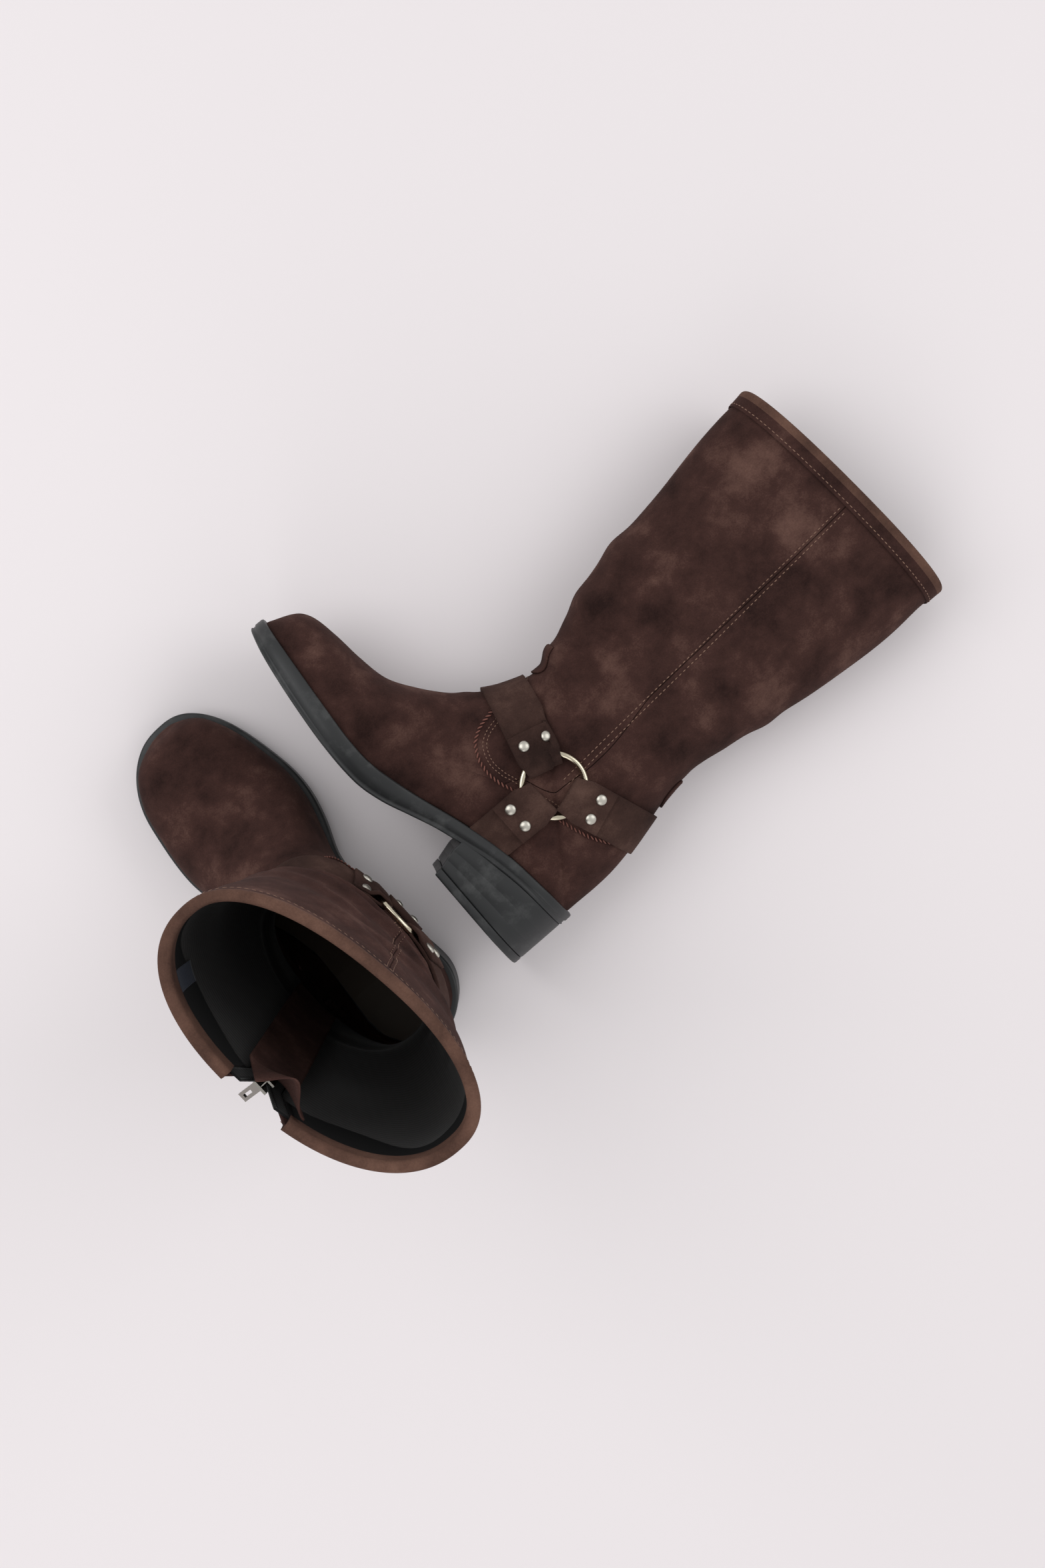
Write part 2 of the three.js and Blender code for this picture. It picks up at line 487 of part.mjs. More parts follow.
// ---- Slider and pull: built square, then set on the zip's straight line ----
// How far a height shares in the lean: 0 under the ankle's bend, then rising evenly to 1 at the rim.
function leanShare(z) {
  const rate = 1 / (RIM.back[1] - (LEAN.from + LEAN.full) / 2);
  if (z < LEAN.from) return 0;
  if (z < LEAN.full) return (rate * (z - LEAN.from) ** 2) / (2 * (LEAN.full - LEAN.from));
  return rate * (z - (LEAN.from + LEAN.full) / 2);
}
function leaned(pose, p) {
  const share = leanShare(p.z);
  const inwards = pose.sway + pose.twist * (p.y - seamY(p.z));
  return new THREE.Vector3(p.x - inwards * share, p.y - pose.lean * share, p.z);
}
function zipFrame(pose) {
  const point = (z) => leaned(pose, new THREE.Vector3(surfaceX(pose, -1, seamY(z), z), seamY(z), z));
  const low = point(SLIDER.low), high = point(SLIDER.high);
  const along = new THREE.Vector3().subVectors(high, low).normalize();
  const out = new THREE.Vector3(-1, 0, 0).addScaledVector(along, along.x).normalize();
  const across = new THREE.Vector3().crossVectors(along, out);
  const place = low.lerp(high, (pose.slider - SLIDER.low) / (SLIDER.high - SLIDER.low));
  return new THREE.Matrix4().makeBasis(across, along, out).setPosition(place);
}
function block(x, y, z) {
  const box = new THREE.BoxGeometry(x[1] - x[0], y[1] - y[0], z[1] - z[0]);
  box.translate((x[0] + x[1]) / 2, (y[0] + y[1]) / 2, (z[0] + z[1]) / 2);
  return toSolid(box);
}
const PIVOT = { along: -SLIDER.length / 2 - 1.6, out: 0.4 }; // the pull's pin, beyond the slider's lower end
const UNDER = SUEDE + 3.3; // depth of the under plate's upper face, clear of the teeth
const WEB = { half: GAP, from: -1 }; // it runs between the zip's halves
function pin(radius, length) {
  const cylinder = new THREE.CylinderGeometry(radius, radius, length, 8);
  cylinder.rotateZ(Math.PI / 2).translate(0, PIVOT.along, PIVOT.out);
  return toSolid(cylinder);
}
function zipSlider() {
  const w = SLIDER.width / 2, l = SLIDER.length / 2, top = [-0.6, SLIDER.rise];
  const under = block([-w, w], [-l, l], [-UNDER - SLIDER.plate, -UNDER]);
  const web = block([-WEB.half, WEB.half], [WEB.from, l - 1], [-UNDER - 0.2, 0]);
  const ears = [[EAR.from, EAR.to], [-EAR.to, -EAR.from]].map((x) =>
    block(x, [-l - 2.8, -l + 1], [top[0], EAR.high]));
  const solid = block([-w, w], [-l, l], top).add(under).add(web).add(pin(EAR.pin, EAR.from + EAR.to - 0.4));
  return solid.add(ears[0]).add(ears[1]);
}
function zipPull() {
  const w = PULL.width / 2, t = PULL.thick / 2, y = PIVOT.along;
  const plate = block([-w, w], [y - PULL.length, y], [PIVOT.out - t, PIVOT.out + t]);
  const low = y - PULL.length, window = block([2 - w, w - 2], [low + 3, low + 12], [-w, w]);
  return plate.add(pin(PULL.barrel, 2 * w)).subtract(pin(PULL.bore, 4 * w)).subtract(window);
}

// ---- Finishing: lean the pieces, mirror and lay down the left boot, name and colour them ----
function flip(geometry) {
  const p = geometry.attributes.position;
  if (geometry.index) {
    const a = geometry.index.array;
    for (let i = 0; i < a.length; i += 3) [a[i], a[i + 1]] = [a[i + 1], a[i]];
    return;
  }
  for (let i = 0; i < p.count; i += 3)
    for (const get of [0, 1, 2]) {
      const a = p.array[i * 3 + get];
      p.array[i * 3 + get] = p.array[(i + 1) * 3 + get];
      p.array[(i + 1) * 3 + get] = a;
    }
}
function toGeometry(solid) {
  const mesh = solid.getMesh(), geometry = new THREE.BufferGeometry();
  const count = mesh.vertProperties.length / mesh.numProp, xyz = new Float32Array(count * 3);
  for (let i = 0; i < count; i++)
    for (let k = 0; k < 3; k++) xyz[i * 3 + k] = mesh.vertProperties[i * mesh.numProp + k];
  geometry.setAttribute("position", new THREE.BufferAttribute(xyz, 3));
  geometry.setIndex([...mesh.triVerts]);
  return geometry;
}

const COLOUR = { suede: 0x4a332c, strap: 0x3f2e26, binding: 0x6a4a3c, rubber: 0x2e3032, ring: 0xcfc6b0,
  rivet: 0xc9c5bb, lining: 0x1c1b1b, tape: 0x0e0e0f, metal: 0x9a9690, board: 0x8c6f4e, bed: 0x55483c,
  steel: 0x8d9093 };
const FINISH = { ring: [0.9, 0.3], rivet: [0.9, 0.35], metal: [0.9, 0.35], steel: [0.9, 0.45] };

function bootPieces(pose) {
  const soft = {
    outsole: [outsole(), "rubber"], heel_block: [heelBlock(), "rubber"], heel_cap: [heelCap(), "rubber"],
    shank: [shank(), "steel"], insole_board: [insoleBoard(pose), "board"], footbed: [footbed(pose), "bed"],
    foot_upper: [footUpper(pose), "suede"],
    shaft_front: [shaftPanel(pose, frontHalf()), "suede"],
    shaft_back: [shaftPanel(pose, backHalf()), "suede"],
    shaft_lining: [shaftLining(pose), "lining"], top_binding: [topBinding(pose), "binding"],
    zip_front: [zipHalf(pose, 1), "tape"], zip_back: [zipHalf(pose, -1), "tape"],
    zip_guard: [zipGuard(pose), "suede"],
    front_tab: [tab(pose, 1, TAB.front), "suede"], back_tab: [tab(pose, -1, TAB.back), "suede"],
    ring_lateral: [torus(pose, 1, RING.wire), "ring"], ring_medial: [torus(pose, -1, RING.wire), "ring"],
    strap_front: [strapAcross(pose, STRAP_ANGLES.front), "strap"],
    strap_rear: [strapAcross(pose, STRAP_ANGLES.rear), "strap"],
    strap_lateral: [strapDown(pose, 1), "strap"], strap_medial: [strapDown(pose, -1), "strap"],
  };
  for (const [name, angle] of Object.entries(STRAP_ANGLES))
    for (const [end, way] of [["low", name === "front" ? -1 : 1], ["high", name === "front" ? 1 : -1]])
      soft[`rivet_${name}_${end}`] = [rivetAt(pose, angle, way), "rivet"];
  const pieces = {};
  for (const [name, [solid, colour]] of Object.entries(soft)) {
    const geometry = toGeometry(solid), p = geometry.attributes.position;
    for (let i = 0; i < p.count; i++) {
      const moved = leaned(pose, new THREE.Vector3().fromBufferAttribute(p, i));
      p.setXYZ(i, moved.x, moved.y, moved.z);
    }
    pieces[name] = [geometry, colour];
  }
  const frame = zipFrame(pose);
  pieces.zip_slider = [toGeometry(zipSlider()).applyMatrix4(frame), "metal"];
  const swing = new THREE.Matrix4().makeTranslation(0, PIVOT.along, PIVOT.out)
    .multiply(new THREE.Matrix4().makeRotationX((-pose.pull * Math.PI) / 180))
    .multiply(new THREE.Matrix4().makeTranslation(0, -PIVOT.along, -PIVOT.out));
  pieces.zip_pull = [toGeometry(zipPull()).applyMatrix4(frame.clone().multiply(swing)), "metal"];
  return pieces;
}

// The turn that lays a boot on its inner side: its hull's face there that carries the weight goes down.
function layDown(pieces) {
  const points = [], centre = new THREE.Vector3();
  let weight = 0;
  for (const [name, [geometry]] of Object.entries(pieces)) {
    if (name.startsWith("zip_") || name.startsWith("ring_")) continue;
    const p = geometry.attributes.position;
    for (let i = 0; i < p.count; i++) points.push([p.getX(i), p.getY(i), p.getZ(i)]);
    const solid = toSolid(geometry), box = solid.boundingBox(), v = solid.volume();
    const [y, z] = [1, 2].map((k) => (box.min[k] + box.max[k]) / 2);
    centre.addScaledVector(new THREE.Vector3(0, y, z), v);
    weight += v;
  }
  centre.divideScalar(weight);
  const mesh = wasm.Manifold.hull(points).getMesh(), n = mesh.numProp;
  const corner = (k) => new THREE.Vector3().fromArray(mesh.vertProperties, mesh.triVerts[k] * n);
  const ray = new THREE.Ray(centre, new THREE.Vector3(1, 0, 0)), hit = new THREE.Vector3();
  for (let k = 0; k < mesh.triVerts.length; k += 3) {
    const face = new THREE.Triangle(corner(k), corner(k + 1), corner(k + 2));
    if (!ray.intersectTriangle(face.a, face.b, face.c, false, hit)) continue;
    const normal = face.getNormal(new THREE.Vector3());
    if (normal.x < 0.5) continue;
    return normal;
  }
  return new THREE.Vector3(1, 0, 0);
}

function mirrored(pieces) {
  for (const [geometry] of Object.values(pieces)) {
    geometry.scale(-1, 1, 1);
    flip(geometry);
  }
  return pieces;
}

function placeLying(pieces) {
  const down = layDown(pieces);
  const toe = new THREE.Vector3(0, 1, 0).addScaledVector(down, -down.y).normalize();
  const up = new THREE.Vector3().crossVectors(down, toe);
  const matrix = new THREE.Matrix4().makeBasis(down, toe, up).transpose(); // down, toe, up become x, y, z
  matrix.premultiply(new THREE.Matrix4().makeRotationY(Math.PI / 2)); // x to -z, z to x
  matrix.premultiply(new THREE.Matrix4().makeRotationZ((LYING_TURN * Math.PI) / 180));
  const heel = new THREE.Vector3(0, 0, 0).applyMatrix4(matrix);
  matrix.premultiply(new THREE.Matrix4().makeTranslation(LYING_HEEL.x - heel.x, LYING_HEEL.y - heel.y, 0));
  let lowest = Infinity;
  for (const [geometry] of Object.values(pieces)) {
    geometry.applyMatrix4(matrix);
    geometry.computeBoundingBox();
    lowest = Math.min(lowest, geometry.boundingBox.min.z);
  }
  for (const [geometry] of Object.values(pieces)) geometry.translate(0, 0, -lowest);
}

const pair = new THREE.Group();
const right = bootPieces(STANDING), left = mirrored(bootPieces(LYING));
placeLying(left);
for (const [side, pieces] of [["right", right], ["left", left]])
  for (const [name, [geometry, colour]] of Object.entries(pieces)) {
    const [metalness, roughness] = FINISH[colour] ?? [0, 0.85];
    const material = new THREE.MeshStandardMaterial({ color: COLOUR[colour], metalness, roughness });
    material.name = colour;
    const mesh = new THREE.Mesh(geometry, material);
    geometry.computeVertexNormals();
    mesh.name = `${side}_${name}`;
    pair.add(mesh);
  }
pair.position.y = -HEEL_MIDDLE;
export default pair;
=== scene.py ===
"""A pair of tall suede harness boots: the right boot stands and the left one lies on its inner side.

Sizes are in millimetres in each boot's own frame (+x outer side, +y toe, +z up, heel at y = 0), and every
mesh is turned to metres in the pair's frame as it is made.
"""
import math
import bmesh
import bpy
import numpy as np
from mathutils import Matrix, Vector
from mathutils.kdtree import KDTree


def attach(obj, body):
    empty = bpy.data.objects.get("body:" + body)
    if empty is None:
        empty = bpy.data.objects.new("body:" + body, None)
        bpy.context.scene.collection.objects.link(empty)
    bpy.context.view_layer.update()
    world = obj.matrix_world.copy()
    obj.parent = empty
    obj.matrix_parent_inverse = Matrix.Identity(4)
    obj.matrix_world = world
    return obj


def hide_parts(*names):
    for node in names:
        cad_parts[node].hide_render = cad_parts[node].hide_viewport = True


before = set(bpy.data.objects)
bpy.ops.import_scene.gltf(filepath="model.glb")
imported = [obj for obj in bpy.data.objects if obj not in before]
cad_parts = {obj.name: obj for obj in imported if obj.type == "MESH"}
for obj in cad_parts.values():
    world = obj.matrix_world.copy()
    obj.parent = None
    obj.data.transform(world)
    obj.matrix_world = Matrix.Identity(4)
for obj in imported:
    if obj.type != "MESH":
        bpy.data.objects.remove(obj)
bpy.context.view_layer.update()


# ---- The studio: a pale floor that runs out of sight, soft light from all round, and a camera overhead ----
# The camera hangs 1.5 m over the floor and looks straight down, a little to the left boot's side.
CAMERA_PLACE = Vector((0.1588, 0.0444, 1.535))
CAMERA_TURN = math.radians(-42.78)
FLOOR_PALE = "E9E3E5"


def linear(hex_colour, alpha=1.0):
    """An sRGB hex colour as linear red, green, blue and alpha."""
    channels = [int(hex_colour[i:i + 2], 16) / 255 for i in (0, 2, 4)]
    turned = [c / 12.92 if c <= 0.04045 else ((c + 0.055) / 1.055) ** 2.4 for c in channels]
    return (*turned, alpha)


def add(tree, kind, inputs=None, **settings):
    """Adds a node; inputs gives its sockets, by name or number, a value or another node's socket."""
    node = tree.nodes.new(kind)
    for name, value in settings.items():
        setattr(node, name, value)
    for key, value in (inputs or {}).items():
        if isinstance(value, bpy.types.NodeSocket):
            tree.links.new(value, node.inputs[key])
        else:
            node.inputs[key].default_value = value
    return node


def material_from(name, shader_inputs, build=None):
    """A material with one Principled shader; build(tree) may return more inputs, linked to patterns."""
    made = bpy.data.materials.new(name)
    made.use_nodes = True
    tree = made.node_tree
    tree.nodes.clear()
    inputs = dict(shader_inputs)
    if build:
        inputs.update(build(tree))
    shader = add(tree, "ShaderNodeBsdfPrincipled", inputs)
    add(tree, "ShaderNodeOutputMaterial", {"Surface": shader.outputs["BSDF"]})
    return made


# Colours come out as they are given, without a film curve.
bpy.context.scene.view_settings.view_transform = "Standard"
camera_data = bpy.data.cameras.new("camera")
camera_data.sensor_fit = "VERTICAL"
camera_data.sensor_height = 36
camera_data.lens = 50
camera = bpy.data.objects.new("camera", camera_data)
camera.location = CAMERA_PLACE
camera.rotation_euler = (0, 0, CAMERA_TURN)
bpy.context.scene.collection.objects.link(camera)
bpy.context.scene.camera = camera

paper = material_from("matt_studio_paper", {"Base Color": linear(FLOOR_PALE), "Roughness": 0.9})
floor_mesh = bpy.data.meshes.new("floor")
FLOOR_HALF = 6.0
floor_mesh.from_pydata([(-FLOOR_HALF, -FLOOR_HALF, 0), (FLOOR_HALF, -FLOOR_HALF, 0), (FLOOR_HALF, FLOOR_HALF, 0),
                        (-FLOOR_HALF, FLOOR_HALF, 0)], [], [(0, 1, 2, 3)])
floor_mesh.materials.append(paper)
floor = bpy.data.objects.new("floor", floor_mesh)
floor.location.z = -0.0006
bpy.context.scene.collection.objects.link(floor)

world = bpy.data.worlds.new("studio")
world.use_nodes = True
world.node_tree.nodes["Background"].inputs["Color"].default_value = (1, 1, 1, 1)
world.node_tree.nodes["Background"].inputs["Strength"].default_value = 0.65
bpy.context.scene.world = world
for name, place, size, power in (
    ("softbox_high", (-0.5, 1.1, 1.9), 1.6, 17),
    ("softbox_side", (1.7, -0.6, 1.5), 1.4, 10),
    ("softbox_low", (-1.3, -1.2, 1.2), 1.4, 6),
):
    light_data = bpy.data.lights.new(name, "AREA")
    light_data.size = size
    light_data.energy = power
    light = bpy.data.objects.new(name, light_data)
    light.location = place
    light.rotation_euler = (Vector((0.12, 0.05, 0.1)) - Vector(place)).to_track_quat("-Z", "Y").to_euler()
    bpy.context.scene.collection.objects.link(light)


# ---- The two boots as they are set down ----
# A soft shaft's top leans back, sways inwards, twists and widens; the left boot is the right one's mirror,
# laid on its side. Its place is found from the rings and rivets of the two boots in the frame.
HEEL_MIDDLE = 45.0  # the pair's origin, from the right heel's rearmost point
LEAN_FROM, LEAN_FULL = 120.0, 150.0
RIM_BACK, RIM_FRONT = (5.0, 388.0), (194.0, 371.0)
SETTINGS = {
    "right": dict(lean=33.0, sway=7.0, twist=0.135, outer=1.5, inner=11.0, open=29.0, slider=344.0),
    "left": dict(lean=0.0, sway=0.0, twist=0.0, outer=0.0, inner=0.0, open=0.0, slider=366.0),
}
SIDES = ("right", "left")


def seam_y(z):
    """Where the side seam runs, and the zip on the inner side."""
    return 78 + (z - 133) * 0.07


def rim_z(y):
    return RIM_BACK[1] + (y - RIM_BACK[0]) / (RIM_FRONT[0] - RIM_BACK[0]) * (RIM_FRONT[1] - RIM_BACK[1])


def node_middle(name):
    """The middle of a frame node's surface, in millimetres."""
    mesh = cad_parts[name].data
    areas = np.array([p.area for p in mesh.polygons])
    middles = np.array([p.center for p in mesh.polygons])
    return (middles * areas[:, None]).sum(0) / areas.sum() * 1000


def left_placement():
    """The turn and shift that take the mirrored right boot to where the left one lies."""
    names = ["ring_lateral", "ring_medial", "heel_cap"]
    names += [f"rivet_{strap}_{end}" for strap in ("front", "rear", "down") for end in ("low", "high")]
    start = np.array([node_middle("right_" + n) for n in names]) + (0, HEEL_MIDDLE, 0)
    start[:, 0] *= -1
    goal = np.array([node_middle("left_" + n) for n in names])
    u, _, vt = np.linalg.svd((goal - goal.mean(0)).T @ (start - start.mean(0)))
    turn = u @ np.diag([1, 1, np.linalg.det(u @ vt)]) @ vt
    return turn, goal.mean(0) - turn @ start.mean(0)


LEFT_TURN, LEFT_SHIFT = left_placement()


def lean_share(z):
    rate = 1 / (RIM_BACK[1] - (LEAN_FROM + LEAN_FULL) / 2)
    bend = rate * (np.clip(z, LEAN_FROM, LEAN_FULL) - LEAN_FROM) ** 2 / (2 * (LEAN_FULL - LEAN_FROM))
    return bend + rate * np.maximum(0, z - LEAN_FULL)


def set_down(side, points):
    """Points of a boot's own frame, in mm, as it stands or lies in the pair's frame, in metres."""
    p = np.array(points, float)
    pose = SETTINGS[side]
    share = lean_share(p[..., 2])
    inwards = pose["sway"] + pose["twist"] * (p[..., 1] - seam_y(p[..., 2]))
    p[..., 0] -= inwards * share
    p[..., 1] -= pose["lean"] * share
    if side == "right":
        return (p - (0, HEEL_MIDDLE, 0)) / 1000
    p[..., 0] *= -1
    return (p @ LEFT_TURN.T + LEFT_SHIFT) / 1000


def make_piece(name, points, faces, material, body, replaced=(), smooth=True):
    """A finished mesh piece in metres that rides on a body and stands for frame nodes."""
    mesh = bpy.data.meshes.new(name)
    mesh.from_pydata(np.asarray(points).reshape(-1, 3).tolist(), [], faces)
    whole = bmesh.new()
    whole.from_mesh(mesh)
    bmesh.ops.remove_doubles(whole, verts=whole.verts, dist=1e-6)
    bmesh.ops.dissolve_degenerate(whole, edges=whole.edges, dist=1e-7)
    bmesh.ops.recalc_face_normals(whole, faces=whole.faces)
    whole.to_mesh(mesh)
    whole.free()
    mesh.materials.append(material)
    for face in mesh.polygons:
        face.use_smooth = smooth
    piece = bpy.data.objects.new(name, mesh)
    bpy.context.scene.collection.objects.link(piece)
    finish_piece(piece, body, replaced)
    return piece


def finish_piece(piece, body, replaced=()):
    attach(piece, body)
    if replaced:
        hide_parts(*replaced)


def loft_faces(stations, around, capped=True):
    """Quads between closed loops of points, with a face over each end."""
    faces = []
    for i in range(stations - 1):
        for j in range(around):
            k = (j + 1) % around
            faces.append((i * around + j, i * around + k, (i + 1) * around + k, (i + 1) * around + j))
    if capped:
        faces.append(tuple(range(around)))
        faces.append(tuple((stations - 1) * around + j for j in range(around)))
    return faces


def curve(points):
    """A smooth curve through (t, value) points, flat beyond both ends."""
    t, v = np.array(points, float).T
    last = len(t) - 1
    before, after = np.maximum(np.arange(last + 1) - 1, 0), np.minimum(np.arange(last + 1) + 1, last)
    slopes = (v[after] - v[before]) / (t[after] - t[before])

    def at(x):
        x = np.clip(np.asarray(x, float), t[0], t[-1])
        i = np.clip(np.searchsorted(t, x, "right") - 1, 0, last - 1)
        h = t[i + 1] - t[i]
        q = (x - t[i]) / h
        blend = q * q * (3 - 2 * q)
        return v[i] + (v[i + 1] - v[i]) * blend + h * q * (1 - q) * ((1 - q) * slopes[i] - q * slopes[i + 1])
    return at


def smooth_step(low, high, x):
    q = np.clip((np.asarray(x, float) - low) / (high - low), 0, 1)
    return q * q * (3 - 2 * q)


# ---- Outsole, heel block and heel cap ----
# Black moulded rubber. The outsole is one unit with a plain side wall, a groove and a knurled line low
# down; the heel is built up of lifts, with a harder piece at the bottom that wears on the floor.
SOLE_LENGTH, HEEL_LENGTH, HEEL_CAP = 290.0, 86.0, 6.0
TOE_ROUND, HEEL_ROUND, UPPER_INSET = 50.0, 38.0, 4.2
RUBBER_BLACK, RUBBER_WORN = "292A2B", "4C4D4D"
sole_top = curve([(0, 51), (30, 49.5), (64, 45.5), (98, 37), (131, 26), (152, 20), (170, 16.5), (190, 16),
                  (219, 18), (253, 21), (290, 24)])
sole_under = curve([(0, 41), (40, 38.5), (70, 33), (86, 28), (109, 20.5), (127, 13), (145, 5.5), (163, 1),
                    (180, 0), (200, 0.6), (218, 2), (245, 5), (272, 9), (290, 13)])
outer_half = curve([(0, 37), (40, 38.5), (70, 35), (105, 30.5), (139, 31.5), (165, 41), (185, 46.5),
                    (205, 48), (230, 45), (255, 40), (275, 36), (290, 33)])
inner_half = curve([(0, 34), (40, 34.5), (70, 32), (105, 31.5), (139, 42), (165, 53), (190, 58),
                    (210, 57.5), (235, 53.5), (255, 49), (275, 43), (290, 37)])


def plan_half(side, y, inset=0.0):
    """Half the sole's width at a place along it, on the outer (1) or inner (-1) side."""
    def rounded(q, power):
        return (1 - (1 - np.clip(q, 0, 1)) ** power) ** (1 / power)
    base = np.where(np.asarray(side) > 0, outer_half(y), inner_half(y)) - inset
    heel = rounded((y - inset) / (HEEL_ROUND - inset), 2)
    return base * heel * rounded((SOLE_LENGTH - inset - y) / (TOE_ROUND - inset), 2.6)


def rubber_pattern(tree):
    """Moulded rubber: scuffs and rubbed dust in soft lighter patches, and a fine pebble."""
    place = add(tree, "ShaderNodeTexCoord").outputs["Object"]
    scuff = add(tree, "ShaderNodeTexNoise", {"Vector": place, "Scale": 38, "Detail": 8, "Roughness": 0.68})
    worn = add(tree, "ShaderNodeMapRange", {0: scuff.outputs["Fac"], 1: 0.52, 2: 0.78})
    colour = add(tree, "ShaderNodeMix", {0: worn.outputs[0], 6: linear(RUBBER_BLACK), 7: linear(RUBBER_WORN)},
                 data_type="RGBA")
    rough = add(tree, "ShaderNodeMapRange", {0: scuff.outputs["Fac"], 1: 0.3, 2: 0.7, 3: 0.36, 4: 0.58})
    pebble = add(tree, "ShaderNodeTexNoise", {"Vector": place, "Scale": 1500, "Detail": 2})
    bump = add(tree, "ShaderNodeBump", {"Height": pebble.outputs["Fac"], "Strength": 0.12, "Distance": 0.0002})
    return {"Base Color": colour.outputs[2], "Roughness": rough.outputs[0], "Normal": bump.outputs["Normal"]}


moulded_rubber = material_from("moulded_black_rubber", {"IOR": 1.5, "Specular IOR Level": 0.35}, rubber_pattern)


def closed_normals(outline):
    """Outward unit normals, in plan, of a closed outline."""
    ahead = np.roll(outline, -1, 0) - np.roll(outline, 1, 0)
    normals = np.stack([ahead[:, 1], -ahead[:, 0]], 1)
    normals /= np.linalg.norm(normals, axis=1)[:, None] + 1e-9
    area = (outline[:, 0] * np.roll(outline[:, 1], -1) - np.roll(outline[:, 0], -1) * outline[:, 1]).sum()
    return normals if area > 0 else -normals


SOLE_STEPS = 260
sole_y = SOLE_LENGTH * (1 - np.cos(np.linspace(0, np.pi, SOLE_STEPS + 1))) / 2
sole_outline = np.concatenate([
    np.stack([plan_half(1, sole_y), sole_y], 1),
    np.stack([-plan_half(-1, sole_y), sole_y], 1)[-2:0:-1]])
sole_normals = closed_normals(sole_outline)


def ladder(count):
    """Index pairs across the outline: the same place along the foot on both sides."""
    return [(i, (2 * count - i) % (2 * count)) for i in range(count + 1)]


TREAD_PITCH, TREAD_DEPTH, TREAD_FROM, TREAD_TO = 9.0, 1.0, 160.0, 268.0
for side in SIDES:
    y = sole_outline[:, 1]
    top, under = sole_top(y), sole_under(y)
    wall = [(7, top - 0.2), (1.8, top + 0.1), (0.6, top - 0.2), (0.1, top - 1.1), (0, top * 0.6 + under * 0.4),
            (0, under + 4.4), (0.6, under + 4.1), (0.75, under + 3.0), (0.75, under + 2.0), (0.1, under + 1.6),
            (0.1, under + 0.9), (0.9, under + 0.05), (4, under)]
    rows = [np.column_stack([sole_outline - sole_normals * inset, z]) for inset, z in wall]
    points = np.concatenate(rows)
    n = len(sole_outline)
    faces = [(a * n + j, a * n + (j + 1) % n, (a + 1) * n + (j + 1) % n, (a + 1) * n + j)
             for a in range(len(rows) - 1) for j in range(n)]
    ACROSS = 24
    for row, relief in ((0, 0.0), (len(rows) - 1, TREAD_DEPTH)):
        start = len(points)
        grid = []
        for i, j in ladder(SOLE_STEPS):
            a, b = rows[row][i], rows[row][j]
            line = a + (b - a) * np.linspace(0, 1, ACROSS + 1)[:, None]
            cut = np.sin(line[:, 1] / TREAD_PITCH * 2 * np.pi + np.abs(line[:, 0]) * 0.25) > 0.25
            inside = (line[:, 1] > TREAD_FROM) & (line[:, 1] < TREAD_TO)
            inside[[0, -1]] = False
            line[:, 2] += relief * cut * inside
            grid.append(line)
        points = np.concatenate([points, *grid])
        faces += [(start + a * (ACROSS + 1) + b, start + a * (ACROSS + 1) + b + 1,
                   start + (a + 1) * (ACROSS + 1) + b + 1, start + (a + 1) * (ACROSS + 1) + b)
                  for a in range(SOLE_STEPS) for b in range(ACROSS)]
    make_piece(f"{side}_outsole_unit", set_down(side, points), faces, moulded_rubber, f"{side}_boot",
               [f"{side}_outsole"])


def heel_outline(inset, steps=120):
    """The heel's outline in plan: round at the back, flat and slightly hollow at the breast."""
    y = inset + (HEEL_LENGTH - inset) * (1 - np.cos(np.linspace(0, np.pi / 2, steps)))
    outer = np.stack([plan_half(1, y, inset), y], 1)
    inner = np.stack([-plan_half(-1, y, inset), y], 1)
    across = np.linspace(1, -1, 26)[1:-1]
    middle, half = (outer[-1, 0] + inner[-1, 0]) / 2, (outer[-1, 0] - inner[-1, 0]) / 2
    breast = np.stack([middle + half * across, HEEL_LENGTH - 2.2 * (1 - across ** 2)], 1)
    return np.concatenate([outer, breast, inner[::-1][:-1]])


def heel_layer(side, name, inset, levels, replaced):
    """One layer of the heel; levels are (fraction of its height or mm, extra inset) from low to high."""
    outline = heel_outline(inset)
    normals = closed_normals(outline)
    rows = []
    for height, more in levels:
        z = height(outline[:, 1]) if callable(height) else np.full(len(outline), height)
        flat = outline - normals * more
        flat[:, 1] += 5 * smooth_step(0, 25, z) * smooth_step(60, HEEL_LENGTH, flat[:, 1])
        rows.append(np.column_stack([flat, z]))
    points = np.stack(rows)
    make_piece(name, set_down(side, points), loft_faces(len(rows), len(outline)), moulded_rubber,
               f"{side}_boot", replaced)


def at_share(share, rise=0.0):
    """A height between the heel cap and the outsole, as a function of the place along the heel."""
    return lambda y: HEEL_CAP + 0.25 + (sole_under(y) - 0.1 - HEEL_CAP - 0.25) * share + rise


for side in SIDES:
    lifts = [(at_share(0), 0.7), (at_share(0, 0.3), 0.3), (at_share(0, 1.0), 0.1)]
    for share in (0.3, 0.62):
        lifts += [(at_share(share, -0.3), 0.1), (at_share(share), 0.24), (at_share(share, 0.3), 0.1)]
    lifts += [(at_share(1, -0.6), 0.2), (at_share(1), 0.5)]
    heel_layer(side, f"{side}_heel_lifts", 0.5, lifts, [f"{side}_heel_block"])
    worn_piece = [(0.0, 1.0), (0.35, 0.3), (1.2, 0.0), (5.2, 0.0), (5.9, 0.5)]
    heel_layer(side, f"{side}_heel_top_piece", 0.5, worn_piece, [f"{side}_heel_cap"])


